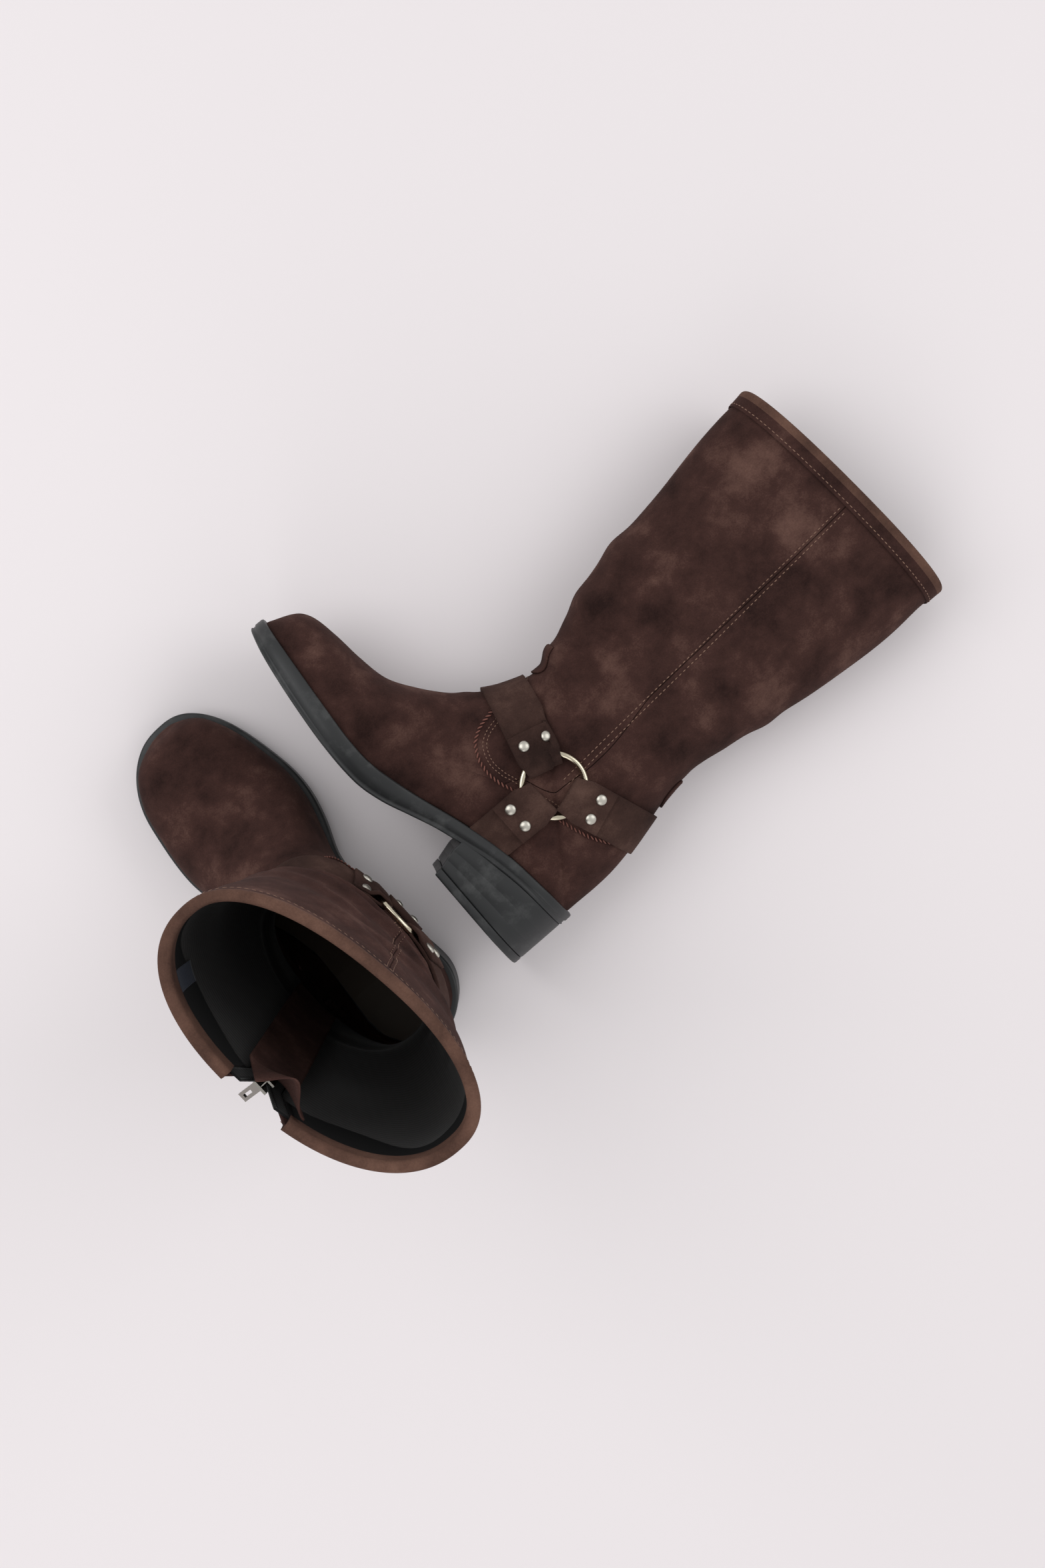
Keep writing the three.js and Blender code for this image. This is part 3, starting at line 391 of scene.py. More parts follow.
# ---- The body of the boot, which every soft piece follows ----
# Sections run from the toe over the instep and ankle to the rim. Each leans from a back point to a front
# point in the side view, and one that stands on the sole is open there.
# Columns: y on the sole, front point's y and z, half widths beyond the sole's (outer, inner), widest place.
ON_SOLE = [
    (286.2, 286.3, 24.3, 0.05, 0.05, 0.1), (285, 285.2, 27.5, 0.2, 0.2, 0.12), (277, 277.5, 44, 0.8, 0.8, 0.2),
    (268, 268, 50.5, 1, 1, 0.22), (251, 250, 54, 1, 1, 0.22), (229, 227, 56.3, 1, 1, 0.2),
    (207, 205, 61, 1, 1, 0.2), (184, 186, 73, 0.8, 0.8, 0.2), (160, 171, 86, 1, 0.5, 0.22),
    (132, 160, 99, 5, 0.8, 0.35), (100, 152, 112, 9, 7, 0.42), (66, 147, 124, 6, 8, 0.44),
    (36, 144, 133, 3.5, 6.5, 0.44), (19, 143.2, 138, 8.5, 11, 0.45), (9.5, 143, 141.5, 17, 19, 0.46),
    (5.6, 143, 144, 27, 28, 0.47),
]
# Columns: back point, front point, half widths outer and inner.
ABOVE_SOLE = [
    (4.4, 64, 143.2, 147.5, 37.5, 36.3), (5, 88, 145.5, 154, 37.3, 36.2), (8.5, 110, 149.5, 162, 37.2, 36),
    (14, 132, 154, 171, 37.6, 36.3), (20, 155, 158.5, 181, 38.6, 36.9), (22.5, 178, 163, 193, 40, 37.4),
    (18.5, 205, 168, 210, 41.3, 38.1), (11.5, 245, 175, 243, 42.5, 39.3), (6.3, 290, 181, 283, 43.2, 40.6),
    (4, 340, 189.5, 329, 43.3, 42.1), (*RIM_BACK, *RIM_FRONT, 43, 43.5), (5.5, 405, 196, 388, 43, 44),
]
ROUNDNESS = 2.25  # of the sections: 2 is an ellipse
ZIP_FROM = 150.0


def body_table(pose):
    """Each section as back y and z, front y and z, widths outer and inner, widest, and how far it is open."""
    rows = []
    for y, fy, fz, add_outer, add_inner, widest in ON_SOLE:
        outer, inner = float(plan_half(1, y, UPPER_INSET)), float(plan_half(-1, y, UPPER_INSET))
        rows.append((y, float(sole_top(y)), fy, fz, outer + add_outer, inner + add_inner, widest,
                     outer / (outer + add_outer), inner / (inner + add_inner)))
    for by, bz, fy, fz, outer, inner in ABOVE_SOLE:
        rise = max(0, ((bz + fz) / 2 - ZIP_FROM) / (RIM_FRONT[1] - ZIP_FROM))
        rows.append((by, bz, fy, fz, outer + pose["outer"] * rise, inner + pose["inner"] * rise, 0.48, 0, 0))
    return np.array(rows)


BODY = {side: body_table(SETTINGS[side]) for side in SIDES}


def section_point(side, k, v):
    """The point of section k at v: 0 at the front, 1 widest outside, -1 inside, 2 and -2 at the back."""
    row = BODY[side][k]
    v = np.where(v > 2, v - 4, np.where(v < -2, v + 4, v))
    outside, across = v >= 0, np.abs(v)
    width = np.where(outside, row[..., 4], row[..., 5])
    opened = np.where(outside, row[..., 7], row[..., 8])
    widest = row[..., 6]
    low = (1 - opened ** ROUNDNESS) ** (1 / ROUNDNESS)
    front = np.clip(1 - across, 0, 1) * np.pi / 2
    back = np.clip(across - 1, 0, 1) * np.arcsin(np.minimum(1, low ** (ROUNDNESS / 2)))
    power = 2 / ROUNDNESS
    along = np.where(across <= 1, widest + (1 - widest) * np.sin(front) ** power,
                     widest * (1 - np.sin(back) ** power / np.maximum(low, 1e-6)))
    x = width * np.abs(np.cos(np.where(across <= 1, front, back))) ** power
    x = np.where((across < 1e-9) | ((across >= 2) & (opened == 0)), 0, x)
    return np.stack([np.where(outside, x, -x), row[..., 0] + along * (row[..., 2] - row[..., 0]),
                     row[..., 1] + along * (row[..., 3] - row[..., 1])], -1)


def body_knots():
    """The sections' places along the body, spaced by how far apart they lie."""
    across = np.linspace(-1.6, 1.6, 9)
    rows = np.stack([section_point("left", np.full(9, k), across) for k in range(len(BODY["left"]))])
    steps = np.linalg.norm(np.diff(rows, axis=0), axis=2).mean(1)
    return np.concatenate([[0], np.cumsum(steps)])


KNOTS = body_knots()
U_CLOSED = KNOTS[len(ON_SOLE)]
U_END = KNOTS[-1]


def plain_point(side, u, v):
    """The body's surface without folds, smooth through the sections."""
    u, v = np.broadcast_arrays(np.asarray(u, float), np.asarray(v, float))
    last = len(KNOTS) - 1
    k = np.clip(np.searchsorted(KNOTS, u, "right") - 1, 0, last - 1)
    places = [np.maximum(k - 1, 0), k, k + 1, np.minimum(k + 2, last)]
    p = [section_point(side, i, v) for i in places]
    t = [KNOTS[i][..., None] for i in places]
    h = t[2] - t[1]
    q = np.clip((u[..., None] - t[1]) / h, 0, 1)
    m1, m2 = (p[2] - p[0]) / (t[2] - t[0]), (p[3] - p[1]) / (t[3] - t[1])
    blend = q * q * (3 - 2 * q)
    return p[1] + (p[2] - p[1]) * blend + h * q * (1 - q) * ((1 - q) * m1 - q * m2)


def plain_normal(side, u, v):
    u, v = np.broadcast_arrays(np.asarray(u, float), np.asarray(v, float))
    step = 0.03
    low, high = v - step, v + step
    on_sole = u < U_CLOSED
    low, high = np.where(on_sole, np.maximum(low, -2), low), np.where(on_sole, np.minimum(high, 2), high)
    across = plain_point(side, u, high) - plain_point(side, u, low)
    along = plain_point(side, np.minimum(u + 1.5, U_END), v) - plain_point(side, np.maximum(u - 1.5, 0), v)
    normal = np.cross(along, across)
    return normal / (np.linalg.norm(normal, axis=-1, keepdims=True) + 1e-9)


# Folds: side (1 outer, -1 inner, 0 both), two places in the side view, height and half width, in mm.
FOLDS = {
    "right": [
        (1, (150, 158), (70, 172), 3.0, 6), (1, (158, 178), (60, 206), 4.2, 7),
        (1, (163, 204), (40, 242), 4.0, 8), (1, (30, 150), (88, 182), 2.8, 6),
        (1, (22, 196), (95, 222), 3.4, 8), (1, (20, 262), (120, 300), 3.0, 10),
        (1, (170, 250), (110, 262), 2.8, 9), (-1, (150, 160), (80, 176), 1.8, 6),
        (-1, (25, 165), (80, 190), 1.8, 7), (0, (165, 148), (120, 132), 1.5, 5),
        (1, (150, 300), (90, 330), 2.2, 12),
    ],
    "left": [
        (0, (160, 160), (112, 150), 2.4, 6), (1, (163, 184), (112, 176), 2.6, 7),
        (1, (18, 172), (66, 168), 2.6, 6), (1, (20, 206), (74, 196), 2.4, 8),
        (1, (170, 226), (120, 214), 2.0, 9), (1, (60, 250), (66, 330), 1.8, 12),
        (1, (140, 240), (150, 330), 1.8, 12), (0, (168, 100), (142, 74), 0.8, 6),
        (0, (178, 236), (140, 244), 2.6, 11), (0, (166, 196), (128, 204), 2.4, 9),
        (0, (8, 236), (52, 246), 2.0, 10),
    ],
}


def fold_height(side, p):
    """How far the suede stands off the plain body, from its folds and a slow unevenness."""
    total = np.zeros(p.shape[:-1])
    for way, start, end, height, width in FOLDS[side]:
        a, b = np.array(start, float), np.array(end, float)
        line = b - a
        q = ((p[..., 1] - a[0]) * line[0] + (p[..., 2] - a[1]) * line[1]) / (line @ line)
        near = np.clip(q, 0, 1)
        gap = np.hypot(p[..., 1] - a[0] - near * line[0], p[..., 2] - a[1] - near * line[1])
        crest = (1 - 0.5 * (gap / width) ** 2) * np.exp(-0.55 * (gap / width) ** 2)
        fade = smooth_step(-0.25, 0.3, q) * (1 - smooth_step(0.7, 1.25, q))
        facing = 1.0 if way == 0 else smooth_step(2, 22, p[..., 0] * way)
        total += height * crest * fade * facing
    slow = (np.sin(p[..., 2] / 23 + p[..., 1] / 41) * np.sin(p[..., 1] / 29 - p[..., 0] / 37 + 1.3)
            + 0.6 * np.sin(p[..., 2] / 13 - p[..., 1] / 19 + 0.7) * np.sin(p[..., 1] / 15 + 2.1))
    high_up = smooth_step(120, 190, p[..., 2])
    quiet = 1 - smooth_step(-26, -10, p[..., 2] - rim_z(p[..., 1]))
    zip_side = 1 - np.exp(-((p[..., 1] - seam_y(p[..., 2])) / 16) ** 2) * (p[..., 0] < 0)
    return (total * (0.25 + 0.75 * quiet) + slow * (0.15 + 0.55 * high_up) * quiet) * zip_side


def skin(side, u, v, lift=0.0):
    """The folded suede's outer surface, moved outwards by lift."""
    plain = plain_point(side, u, v)
    height = fold_height(side, plain) + np.asarray(lift, float)
    return plain + plain_normal(side, u, v) * height[..., None]


def root(rises, low, high, steps=24):
    """Where a function that goes from below zero to above it crosses zero, between low and high."""
    low, high = np.array(low, float), np.array(high, float)
    for _ in range(steps):
        middle = (low + high) / 2
        over = rises(middle) > 0
        high, low = np.where(over, middle, high), np.where(over, low, middle)
    return (low + high) / 2


# The curved seam between foot and shaft, in the side view, from front to back.
SEAM_POINTS = [(172, 168), (162, 152), (151, 133), (146, 116), (143, 99), (140, 86), (133, 76.5), (120, 71.5),
               (107, 72.5), (94, 77), (75, 83), (57, 88), (38, 95), (24, 104), (12, 118), (2, 128), (-20, 138)]
_steps = np.arange(len(SEAM_POINTS))
SEAM_LINE = np.stack([curve([(i, p[c]) for i, p in zip(_steps, SEAM_POINTS)])(np.linspace(0, _steps[-1], 320))
                      for c in (0, 1)], 1)


def over_seam(p):
    """Signed distance in the side view from the curved seam: above it is the shaft."""
    flat = p[..., 1:]
    gaps = np.linalg.norm(flat[..., None, :] - SEAM_LINE, axis=-1)
    near = gaps.argmin(-1)
    i = np.clip(near, 1, len(SEAM_LINE) - 2)
    ahead = SEAM_LINE[i + 1] - SEAM_LINE[i - 1]
    off = flat - SEAM_LINE[i]
    above = ahead[..., 0] * off[..., 1] - ahead[..., 1] * off[..., 0]
    return np.where(above < 0, 1, -1) * gaps.min(-1)


def over_rim(p):
    return p[..., 2] - rim_z(p[..., 1])


V_STEEP = np.linspace(1.03, 1.13, 101)  # where body lines run along the curved seam
V_FINE = np.unique(np.concatenate([np.linspace(-2, 2, 241), V_STEEP, -V_STEEP]))


def level_u(side, measure, value):
    """Where each line of the body, from toe to rim, meets a measure's value; a function of v."""
    found = root(lambda u: measure(plain_point(side, u, V_FINE)) - value, np.full(len(V_FINE), 12.0),
                 np.full(len(V_FINE), U_END))
    return lambda v: np.interp(np.where(v > 2, v - 4, np.where(v < -2, v + 4, v)), V_FINE, found)


PLACES = {}


def on_side(side, way, y, z):
    """The body place that lies at y and z in the side view, on the outer (1) or inner (-1) side."""
    y, z = (np.array(q, float) for q in np.broadcast_arrays(y, z))
    key = (side, way)
    if key not in PLACES:
        u, v = np.meshgrid(np.linspace(20, U_END, 320), way * np.linspace(0.06, 1.94, 90), indexing="ij")
        p = plain_point(side, u, v)
        tree = KDTree(u.size)
        for i, (py, pz) in enumerate(zip(p[..., 1].ravel(), p[..., 2].ravel())):
            tree.insert((py, pz, 0), i)
        tree.balance()
        PLACES[key] = tree, u.ravel(), v.ravel()
    tree, table_u, table_v = PLACES[key]
    near = [tree.find((a, b, 0))[1] for a, b in zip(y.ravel(), z.ravel())]
    u, v = table_u[near].reshape(y.shape), table_v[near].reshape(y.shape)
    for _ in range(6):
        p, pu, pv = plain_point(side, u, v), plain_point(side, u + 0.3, v), plain_point(side, u, v + 0.003)
        a, c = (pu[..., 1] - p[..., 1]) / 0.3, (pu[..., 2] - p[..., 2]) / 0.3
        b, d = (pv[..., 1] - p[..., 1]) / 0.003, (pv[..., 2] - p[..., 2]) / 0.003
        ry, rz, whole = y - p[..., 1], z - p[..., 2], a * d - b * c
        whole = np.where(np.abs(whole) < 1e-3, 1e-3, whole)
        u = np.clip(u + np.clip((d * ry - b * rz) / whole, -3, 3), 0, U_END)
        v = np.clip(v + np.clip((a * rz - c * ry) / whole, -0.04, 0.04), -1.999, 1.999)
    return u, v


def along_level(side, measure, value, v_from, v_to, marks):
    """Places on a level line of the body between two body lines, at shares (marks) of its length."""
    fine = np.linspace(v_from, v_to, 3000)
    u = level_u(side, measure, value)(fine)
    length = np.linalg.norm(np.diff(plain_point(side, u, fine), axis=0), axis=1)
    share = np.concatenate([[0], np.cumsum(length)]) / length.sum()
    return np.stack([np.interp(marks, share, u), np.interp(marks, share, fine)], 1)


def shell(side, name, u, v, outer, inner, material, replaced=(), closed_round=False):
    """A closed skin of suede or cloth over a grid of body places, between two lifts."""
    u, v = np.broadcast_arrays(u, v)
    outer = np.broadcast_to(outer, u.shape)
    inner = np.broadcast_to(inner, u.shape)
    rows, columns = u.shape
    points = np.concatenate([skin(side, u, v, outer).reshape(-1, 3), skin(side, u, v, inner).reshape(-1, 3)])
    faces = []
    size = rows * columns
    span = columns if closed_round else columns - 1
    for i in range(rows - 1):
        for j in range(span):
            k = (j + 1) % columns
            a, b, c, d = i * columns + j, i * columns + k, (i + 1) * columns + k, (i + 1) * columns + j
            faces += [(a, b, c, d), (size + d, size + c, size + b, size + a)]
    for j in range(span):
        k = (j + 1) % columns
        for a, b in ((j, k), ((rows - 1) * columns + k, (rows - 1) * columns + j)):
            faces.append((b, a, size + a, size + b))
    if not closed_round:
        for i in range(rows - 1):
            for a, b in (((i + 1) * columns, i * columns), (i * columns + columns - 1, (i + 2) * columns - 1)):
                faces.append((b, a, size + a, size + b))
    return make_piece(name, set_down(side, points), faces, material, f"{side}_boot", replaced)


def eased(count, edge=0.003):
    """Even steps from 0 to 1 with one narrow step at each end, where an edge is rounded over."""
    return np.concatenate([[0], np.linspace(edge, 1 - edge, count), [1]])


def edge_drop(u_steps, v_steps, drop=0.5):
    """The lift of a panel's outer face: a little lower along its cut edges."""
    lift = np.zeros((u_steps, v_steps))
    lift[0], lift[-1] = -drop, -drop
    lift[:, 0], lift[:, -1] = -drop, -drop
    return lift


# ---- Suede ----
# Split calf, brushed to a short nap. The nap lies one way or another, so the brown shifts in soft clouds,
# and handling leaves lighter rubbed places and darker smudges. It has no shine, only a faint bloom.
SUEDE_DARK, SUEDE_BROWN, SUEDE_LIGHT, SUEDE_BLOOM = "231513", "3E2925", "624840", "755A52"


def suede_pattern(dark, brown, light):
    def build(tree):
        place = add(tree, "ShaderNodeTexCoord").outputs["Object"]
        cloud = add(tree, "ShaderNodeTexNoise", {"Vector": place, "Scale": 26, "Detail": 5, "Roughness": 0.55})
        brushed = add(tree, "ShaderNodeTexNoise", {"Vector": place, "Scale": 75, "Detail": 6, "Roughness": 0.7,
                                                   "Distortion": 0.6})
        fibre = add(tree, "ShaderNodeTexNoise", {"Vector": place, "Scale": 900, "Detail": 3, "Roughness": 0.7})
        rubbed = add(tree, "ShaderNodeMath", {0: brushed.outputs["Fac"], 1: 0.5}, operation="MULTIPLY")
        grain = add(tree, "ShaderNodeMath", {0: fibre.outputs["Fac"], 1: 0.4, 2: rubbed.outputs[0]},
                    operation="MULTIPLY_ADD")
        nap = add(tree, "ShaderNodeMath", {0: cloud.outputs["Fac"], 1: 1.6, 2: grain.outputs[0]},
                  operation="MULTIPLY_ADD")
        share = add(tree, "ShaderNodeMapRange", {0: nap.outputs[0], 1: 0.9, 2: 1.72})
        ramp = add(tree, "ShaderNodeValToRGB", {"Fac": share.outputs[0]})
        ramp.color_ramp.elements.new(0.5)
        for stop, (where, colour) in zip(ramp.color_ramp.elements, ((0.0, dark), (0.5, brown), (1.0, light))):
            stop.position, stop.color = where, linear(colour)
        height = add(tree, "ShaderNodeMath", {0: brushed.outputs["Fac"], 1: 0.6, 2: fibre.outputs["Fac"]},
                     operation="MULTIPLY_ADD")
        bump = add(tree, "ShaderNodeBump", {"Height": height.outputs[0], "Strength": 0.45, "Distance": 0.0006})
        return {"Base Color": ramp.outputs["Color"], "Normal": bump.outputs["Normal"]}
    return build


SUEDE_FINISH = {"Roughness": 0.95, "Specular IOR Level": 0.12, "Sheen Weight": 0.14, "Sheen Roughness": 0.55,
                "Sheen Tint": linear(SUEDE_BLOOM)}
brushed_suede = material_from("brushed_brown_suede", SUEDE_FINISH,
                              suede_pattern(SUEDE_DARK, SUEDE_BROWN, SUEDE_LIGHT))

# ---- Foot: vamp and counter ----
# One piece of suede lasted over the foot, its lower edge down on the rubber; its top edge follows the
# curved seam, where it lies over the shaft.
SUEDE_THICK = 2.0
FOOT_OVER = 0.7  # how far the foot stands over the shaft at their seam
for side in SIDES:
    s = np.concatenate([np.linspace(0, 0.985, 130), [0.992, 1.0]])[:, None]
    marks = np.linspace(0, 1, 261)
    seam_u, seam_v = along_level(side, over_seam, 0.0, -2, 2, marks).T
    u = s * seam_u
    v = (1 - s) * (4 * marks - 2) + s * seam_v
    lift = FOOT_OVER * smooth_step(0.8, 0.99, s) * np.ones_like(u)
    lift[-1] = 0.1
    shell(side, f"{side}_vamp_and_counter", u, v, lift, -SUEDE_THICK, brushed_suede,
          [f"{side}_foot_upper"])

# ---- Shaft: a front and a back panel ----
# Two suede panels, closed by the side seam outside and by the zip inside. Their lower edges run under the
# foot's curved edge.
ZIP_SLOT = 5.8  # from the zip's line to the suede's edge


def parted(side, z):
    """How far each zip half has moved aside where the zip is open."""
    pose = SETTINGS[side]
    top = rim_z(seam_y(RIM_FRONT[1]))
    return pose["open"] / 2 * np.maximum(0, (z - pose["slider"]) / (top - pose["slider"]))


def v_at_line(side, face, u_of_v, away):
    """For rows of u_of_v(v), the v where the body meets the seam's line (moved by away(z)) on one face."""
    def toward_front(v):
        p = plain_point(side, u_of_v(v), v)
        return p[..., 1] - seam_y(p[..., 2]) - away(p[..., 2])
    rows = len(u_of_v(np.zeros(1)))
    if face < 0:
        return root(toward_front, np.full(rows, -1.9), np.full(rows, -0.2))
    return root(lambda v: -toward_front(v), np.full(rows, 0.2), np.full(rows, 1.9))


def zip_edge(side, way, slot):
    return lambda z: way * (slot * smooth_step(ZIP_FROM - 3, ZIP_FROM + 6, z) + parted(side, z) + 0.1)


UNDERLAP = 4.0  # how far the shaft runs under the foot's edge


def panel(side, edges, rows=150, columns=170):
    """Body places over a shaft panel; an edge is its side (1 outer, -1 inner), y of z, and turns round."""
    s, t = eased(rows), eased(columns)
    sides = []
    for way, y_of_z, turns in edges:
        def rise(z, y_of_z=y_of_z):
            return over_seam(np.stack([z * 0, y_of_z(z), z], -1)) + UNDERLAP
        low = root(rise, np.array([60.0]), np.array([110.0]))
        top = rim_z(seam_y(RIM_FRONT[1])) - 0.2
        for _ in range(4):
            top = rim_z(y_of_z(np.array([top]))[0]) - 0.2
        z = low + (top - low) * s
        u, v = on_side(side, way, y_of_z(z), z)
        sides.append(np.stack([u, v + 4 * turns], 1))
    first, last = sides
    under = along_level(side, over_seam, -UNDERLAP, first[0, 1], last[0, 1], t)
    over = along_level(side, over_rim, -0.2, first[-1, 1], last[-1, 1], t)
    s, t = s[:, None, None], t[None, :, None]
    corners = ((1 - s) * ((1 - t) * first[0] + t * last[0]) + s * ((1 - t) * first[-1] + t * last[-1]))
    grid = (1 - s) * under + s * over + (1 - t) * first[:, None] + t * last[:, None] - corners
    return grid[..., 0], grid[..., 1]


for side in SIDES:
    ahead, behind = zip_edge(side, 1, ZIP_SLOT), zip_edge(side, -1, ZIP_SLOT)
    u, v = panel(side, ((-1, lambda z: seam_y(z) + ahead(z), 0), (1, lambda z: seam_y(z) + 0.15, 0)))
    shell(side, f"{side}_front_panel", u, v, edge_drop(*u.shape), -SUEDE_THICK, brushed_suede,
          [f"{side}_shaft_front"])
    u, v = panel(side, ((1, lambda z: seam_y(z) - 0.15, 0), (-1, lambda z: seam_y(z) + behind(z), 1)))
    shell(side, f"{side}_back_panel", u, v, edge_drop(*u.shape), -SUEDE_THICK, brushed_suede,
          [f"{side}_shaft_back"])

# ---- Textile lining ----
# A thin, nearly black cloth on the inside of the shaft, from the ankle up, cut back at the zip.
LINED_FROM = ((-20.0, 112.0), (320.0, 180.0))  # y and z of its lower edge
LINING_BLACK, LINING_GREY = "100F0F", "221F1E"
TAPE_HALF, GAP = 11.0, 0.3


def over_lining(p):
    (y0, z0), (y1, z1) = LINED_FROM
    return p[..., 2] - z0 - (p[..., 1] - y0) * (z1 - z0) / (y1 - y0)


def weave_pattern(dark, light, thread_mm):
    """A plain weave: two sets of fine bands across each other, on slow shade differences."""
    def build(tree):
        place = add(tree, "ShaderNodeTexCoord").outputs["Object"]
        bands = [add(tree, "ShaderNodeTexWave", {"Vector": place, "Scale": 1000 / thread_mm / 20,
                                                 "Distortion": 0.4, "Detail": 1}, bands_direction=way)
                 for way in ("X", "Z")]
        crossed = add(tree, "ShaderNodeMath", {0: bands[0].outputs["Fac"], 1: bands[1].outputs["Fac"]})
        shade = add(tree, "ShaderNodeTexNoise", {"Vector": place, "Scale": 30, "Detail": 4})
        colour = add(tree, "ShaderNodeMix", {0: shade.outputs["Fac"], 6: linear(dark), 7: linear(light)},
                     data_type="RGBA")
        bump = add(tree, "ShaderNodeBump", {"Height": crossed.outputs[0], "Strength": 0.3, "Distance": 0.0002})
        return {"Base Color": colour.outputs[2], "Normal": bump.outputs["Normal"]}
    return build


CLOTH_FINISH = {"Roughness": 0.9, "Specular IOR Level": 0.2, "Sheen Weight": 0.1}
lining_cloth = material_from("dark_lining_cloth", CLOTH_FINISH, weave_pattern(LINING_BLACK, LINING_GREY, 0.6))


def between_zip(side, s, low, high, slot, columns):
    """A grid of body places that goes all round the shaft but for the zip, from one level to another."""
    def u_rows(v):
        return low(v) + (high(v) - low(v)) * s
    front = v_at_line(side, -1, u_rows, zip_edge(side, 1, slot))
    back = v_at_line(side, -1, u_rows, zip_edge(side, -1, slot))
    t = np.linspace(0, 1, columns)
    v = front[:, None] + (back + 4 - front)[:, None] * t
    return low(v) + (high(v) - low(v)) * s[:, None], v


for side in SIDES:
    low, high = level_u(side, over_lining, 0.0), level_u(side, over_rim, -0.8)
    u, v = between_zip(side, eased(90), low, high, TAPE_HALF + 2 * GAP, 220)
    shell(side, f"{side}_cloth_lining", u, v, -SUEDE_THICK - GAP, -SUEDE_THICK - GAP - 1.0, lining_cloth,
          [f"{side}_shaft_lining"])

# ---- Facing ----
# A smooth black band sewn inside the top edge, over the lining; its lower edge waves.
FACING_DEEP, FACING_WAVE, FACING_FACE, FACING_BACK = 36.0, 9.0, 1.05, 1.75
black_facing = material_from("black_smooth_facing", {"Base Color": linear("0E0E0F"), "Roughness": 0.62})
for side in SIDES:
    high = level_u(side, over_rim, -0.6)
    levels = [level_u(side, over_rim, -d) for d in (FACING_DEEP - FACING_WAVE, FACING_DEEP + FACING_WAVE)]

    def low(v, levels=levels):
        wave = 0.5 + 0.5 * np.sin(np.where(v > 2, v - 4, v) * 2 * np.pi / 0.8)
        return levels[0](v) + (levels[1](v) - levels[0](v)) * wave
    u, v = between_zip(side, eased(24), low, high, TAPE_HALF + 2 * GAP, 260)
    inside = -SUEDE_THICK - GAP
    shell(side, f"{side}_inner_facing", u, v, inside - FACING_FACE, inside - FACING_BACK, black_facing)

# ---- Binding ----
# A strip of suede folded over the raw top edge and sewn through. Its flat band is the shaft's own brown,
# and the thick soft roll over the edge is a lighter suede.
BINDING_BROWN, BINDING_DARK, BINDING_LIGHT = "5C4339", "3E2C26", "75584B"
binding_suede = material_from("light_brown_binding_suede", SUEDE_FINISH,
                              suede_pattern(BINDING_DARK, BINDING_BROWN, BINDING_LIGHT))
ROLL_MIDDLE, ROLL_RADIUS, BINDING_HEIGHT = -1.7, 3.5, 13.0
BAND_POINTS = 4  # of the section below: the first ones are the flat band's


def rim_points(side, v, height, lift):
    """Places at a height over the rim (or under it, if less than 0) and a lift from the suede's face."""
    v, height, lift = np.broadcast_arrays(v, height, lift)
    edge = level_u(side, over_rim, -0.2)(v)
    steps = [0.0, 1.5, 3.0, 6.0, 10.0, 14.0]
    levels = np.stack([level_u(side, over_rim, -0.2 - d)(v) for d in steps])
    down = np.clip(-height, 0, steps[-1])
    k = np.clip(np.searchsorted(steps, down, "right") - 1, 0, len(steps) - 2)
    q = (down - np.take(steps, k)) / (np.take(steps, k + 1) - np.take(steps, k))
    u = np.take_along_axis(levels, k[None], 0)[0] * (1 - q) + np.take_along_axis(levels, k[None] + 1, 0)[0] * q
    base = skin(side, u, v, lift)
    up = plain_point(side, edge, v) - plain_point(side, edge - 2, v)
    up /= np.linalg.norm(up, axis=-1, keepdims=True)
    return base + up * np.maximum(height, 0)[..., None]


def rim_ends(side, edge, slot):
    """Body lines on which a level line of the rim meets the two edges of the zip's opening."""
    return [float(v_at_line(side, -1, lambda v: edge(v) + np.zeros(1), zip_edge(side, way, slot))[0])
            for way in (1, -1)]


arc = np.linspace(0, np.pi, 17)
roll = np.concatenate([
    [(-BINDING_HEIGHT, 0.35), (-BINDING_HEIGHT, 1.1), (-BINDING_HEIGHT + 0.5, 1.35), (-8, 1.45), (-4, 1.6)],
    np.stack([ROLL_RADIUS * 0.85 * np.sin(arc) - 0.6, ROLL_MIDDLE + ROLL_RADIUS * np.cos(arc)], 1),
    [(-4, -5.0), (-8, -4.7), (-BINDING_HEIGHT + 0.5, -4.6), (-BINDING_HEIGHT, -4.4), (-BINDING_HEIGHT, -3.7),
     (-7, -3.7), (0.2, -3.5), (0.2, 0.1), (-7, 0.35)]])
for side in SIDES:
    edge = level_u(side, over_rim, -0.2)
    ends = rim_ends(side, edge, ZIP_SLOT)
    v = ends[0] + (ends[1] + 4 - ends[0]) * np.linspace(0, 1, 300)
    rows = rim_points(side, v[:, None], roll[None, :, 0], roll[None, :, 1])
    faces = loft_faces(len(v), len(roll))
    binding = make_piece(f"{side}_rim_binding", set_down(side, rows), faces, brushed_suede, f"{side}_boot",
                         [f"{side}_top_binding"])
    binding.data.materials.append(binding_suede)
    for face in binding.data.polygons:
        around = [corner % len(roll) for corner in face.vertices]
        if min(around) >= BAND_POINTS and len(around) == 4:
            face.material_index = 1

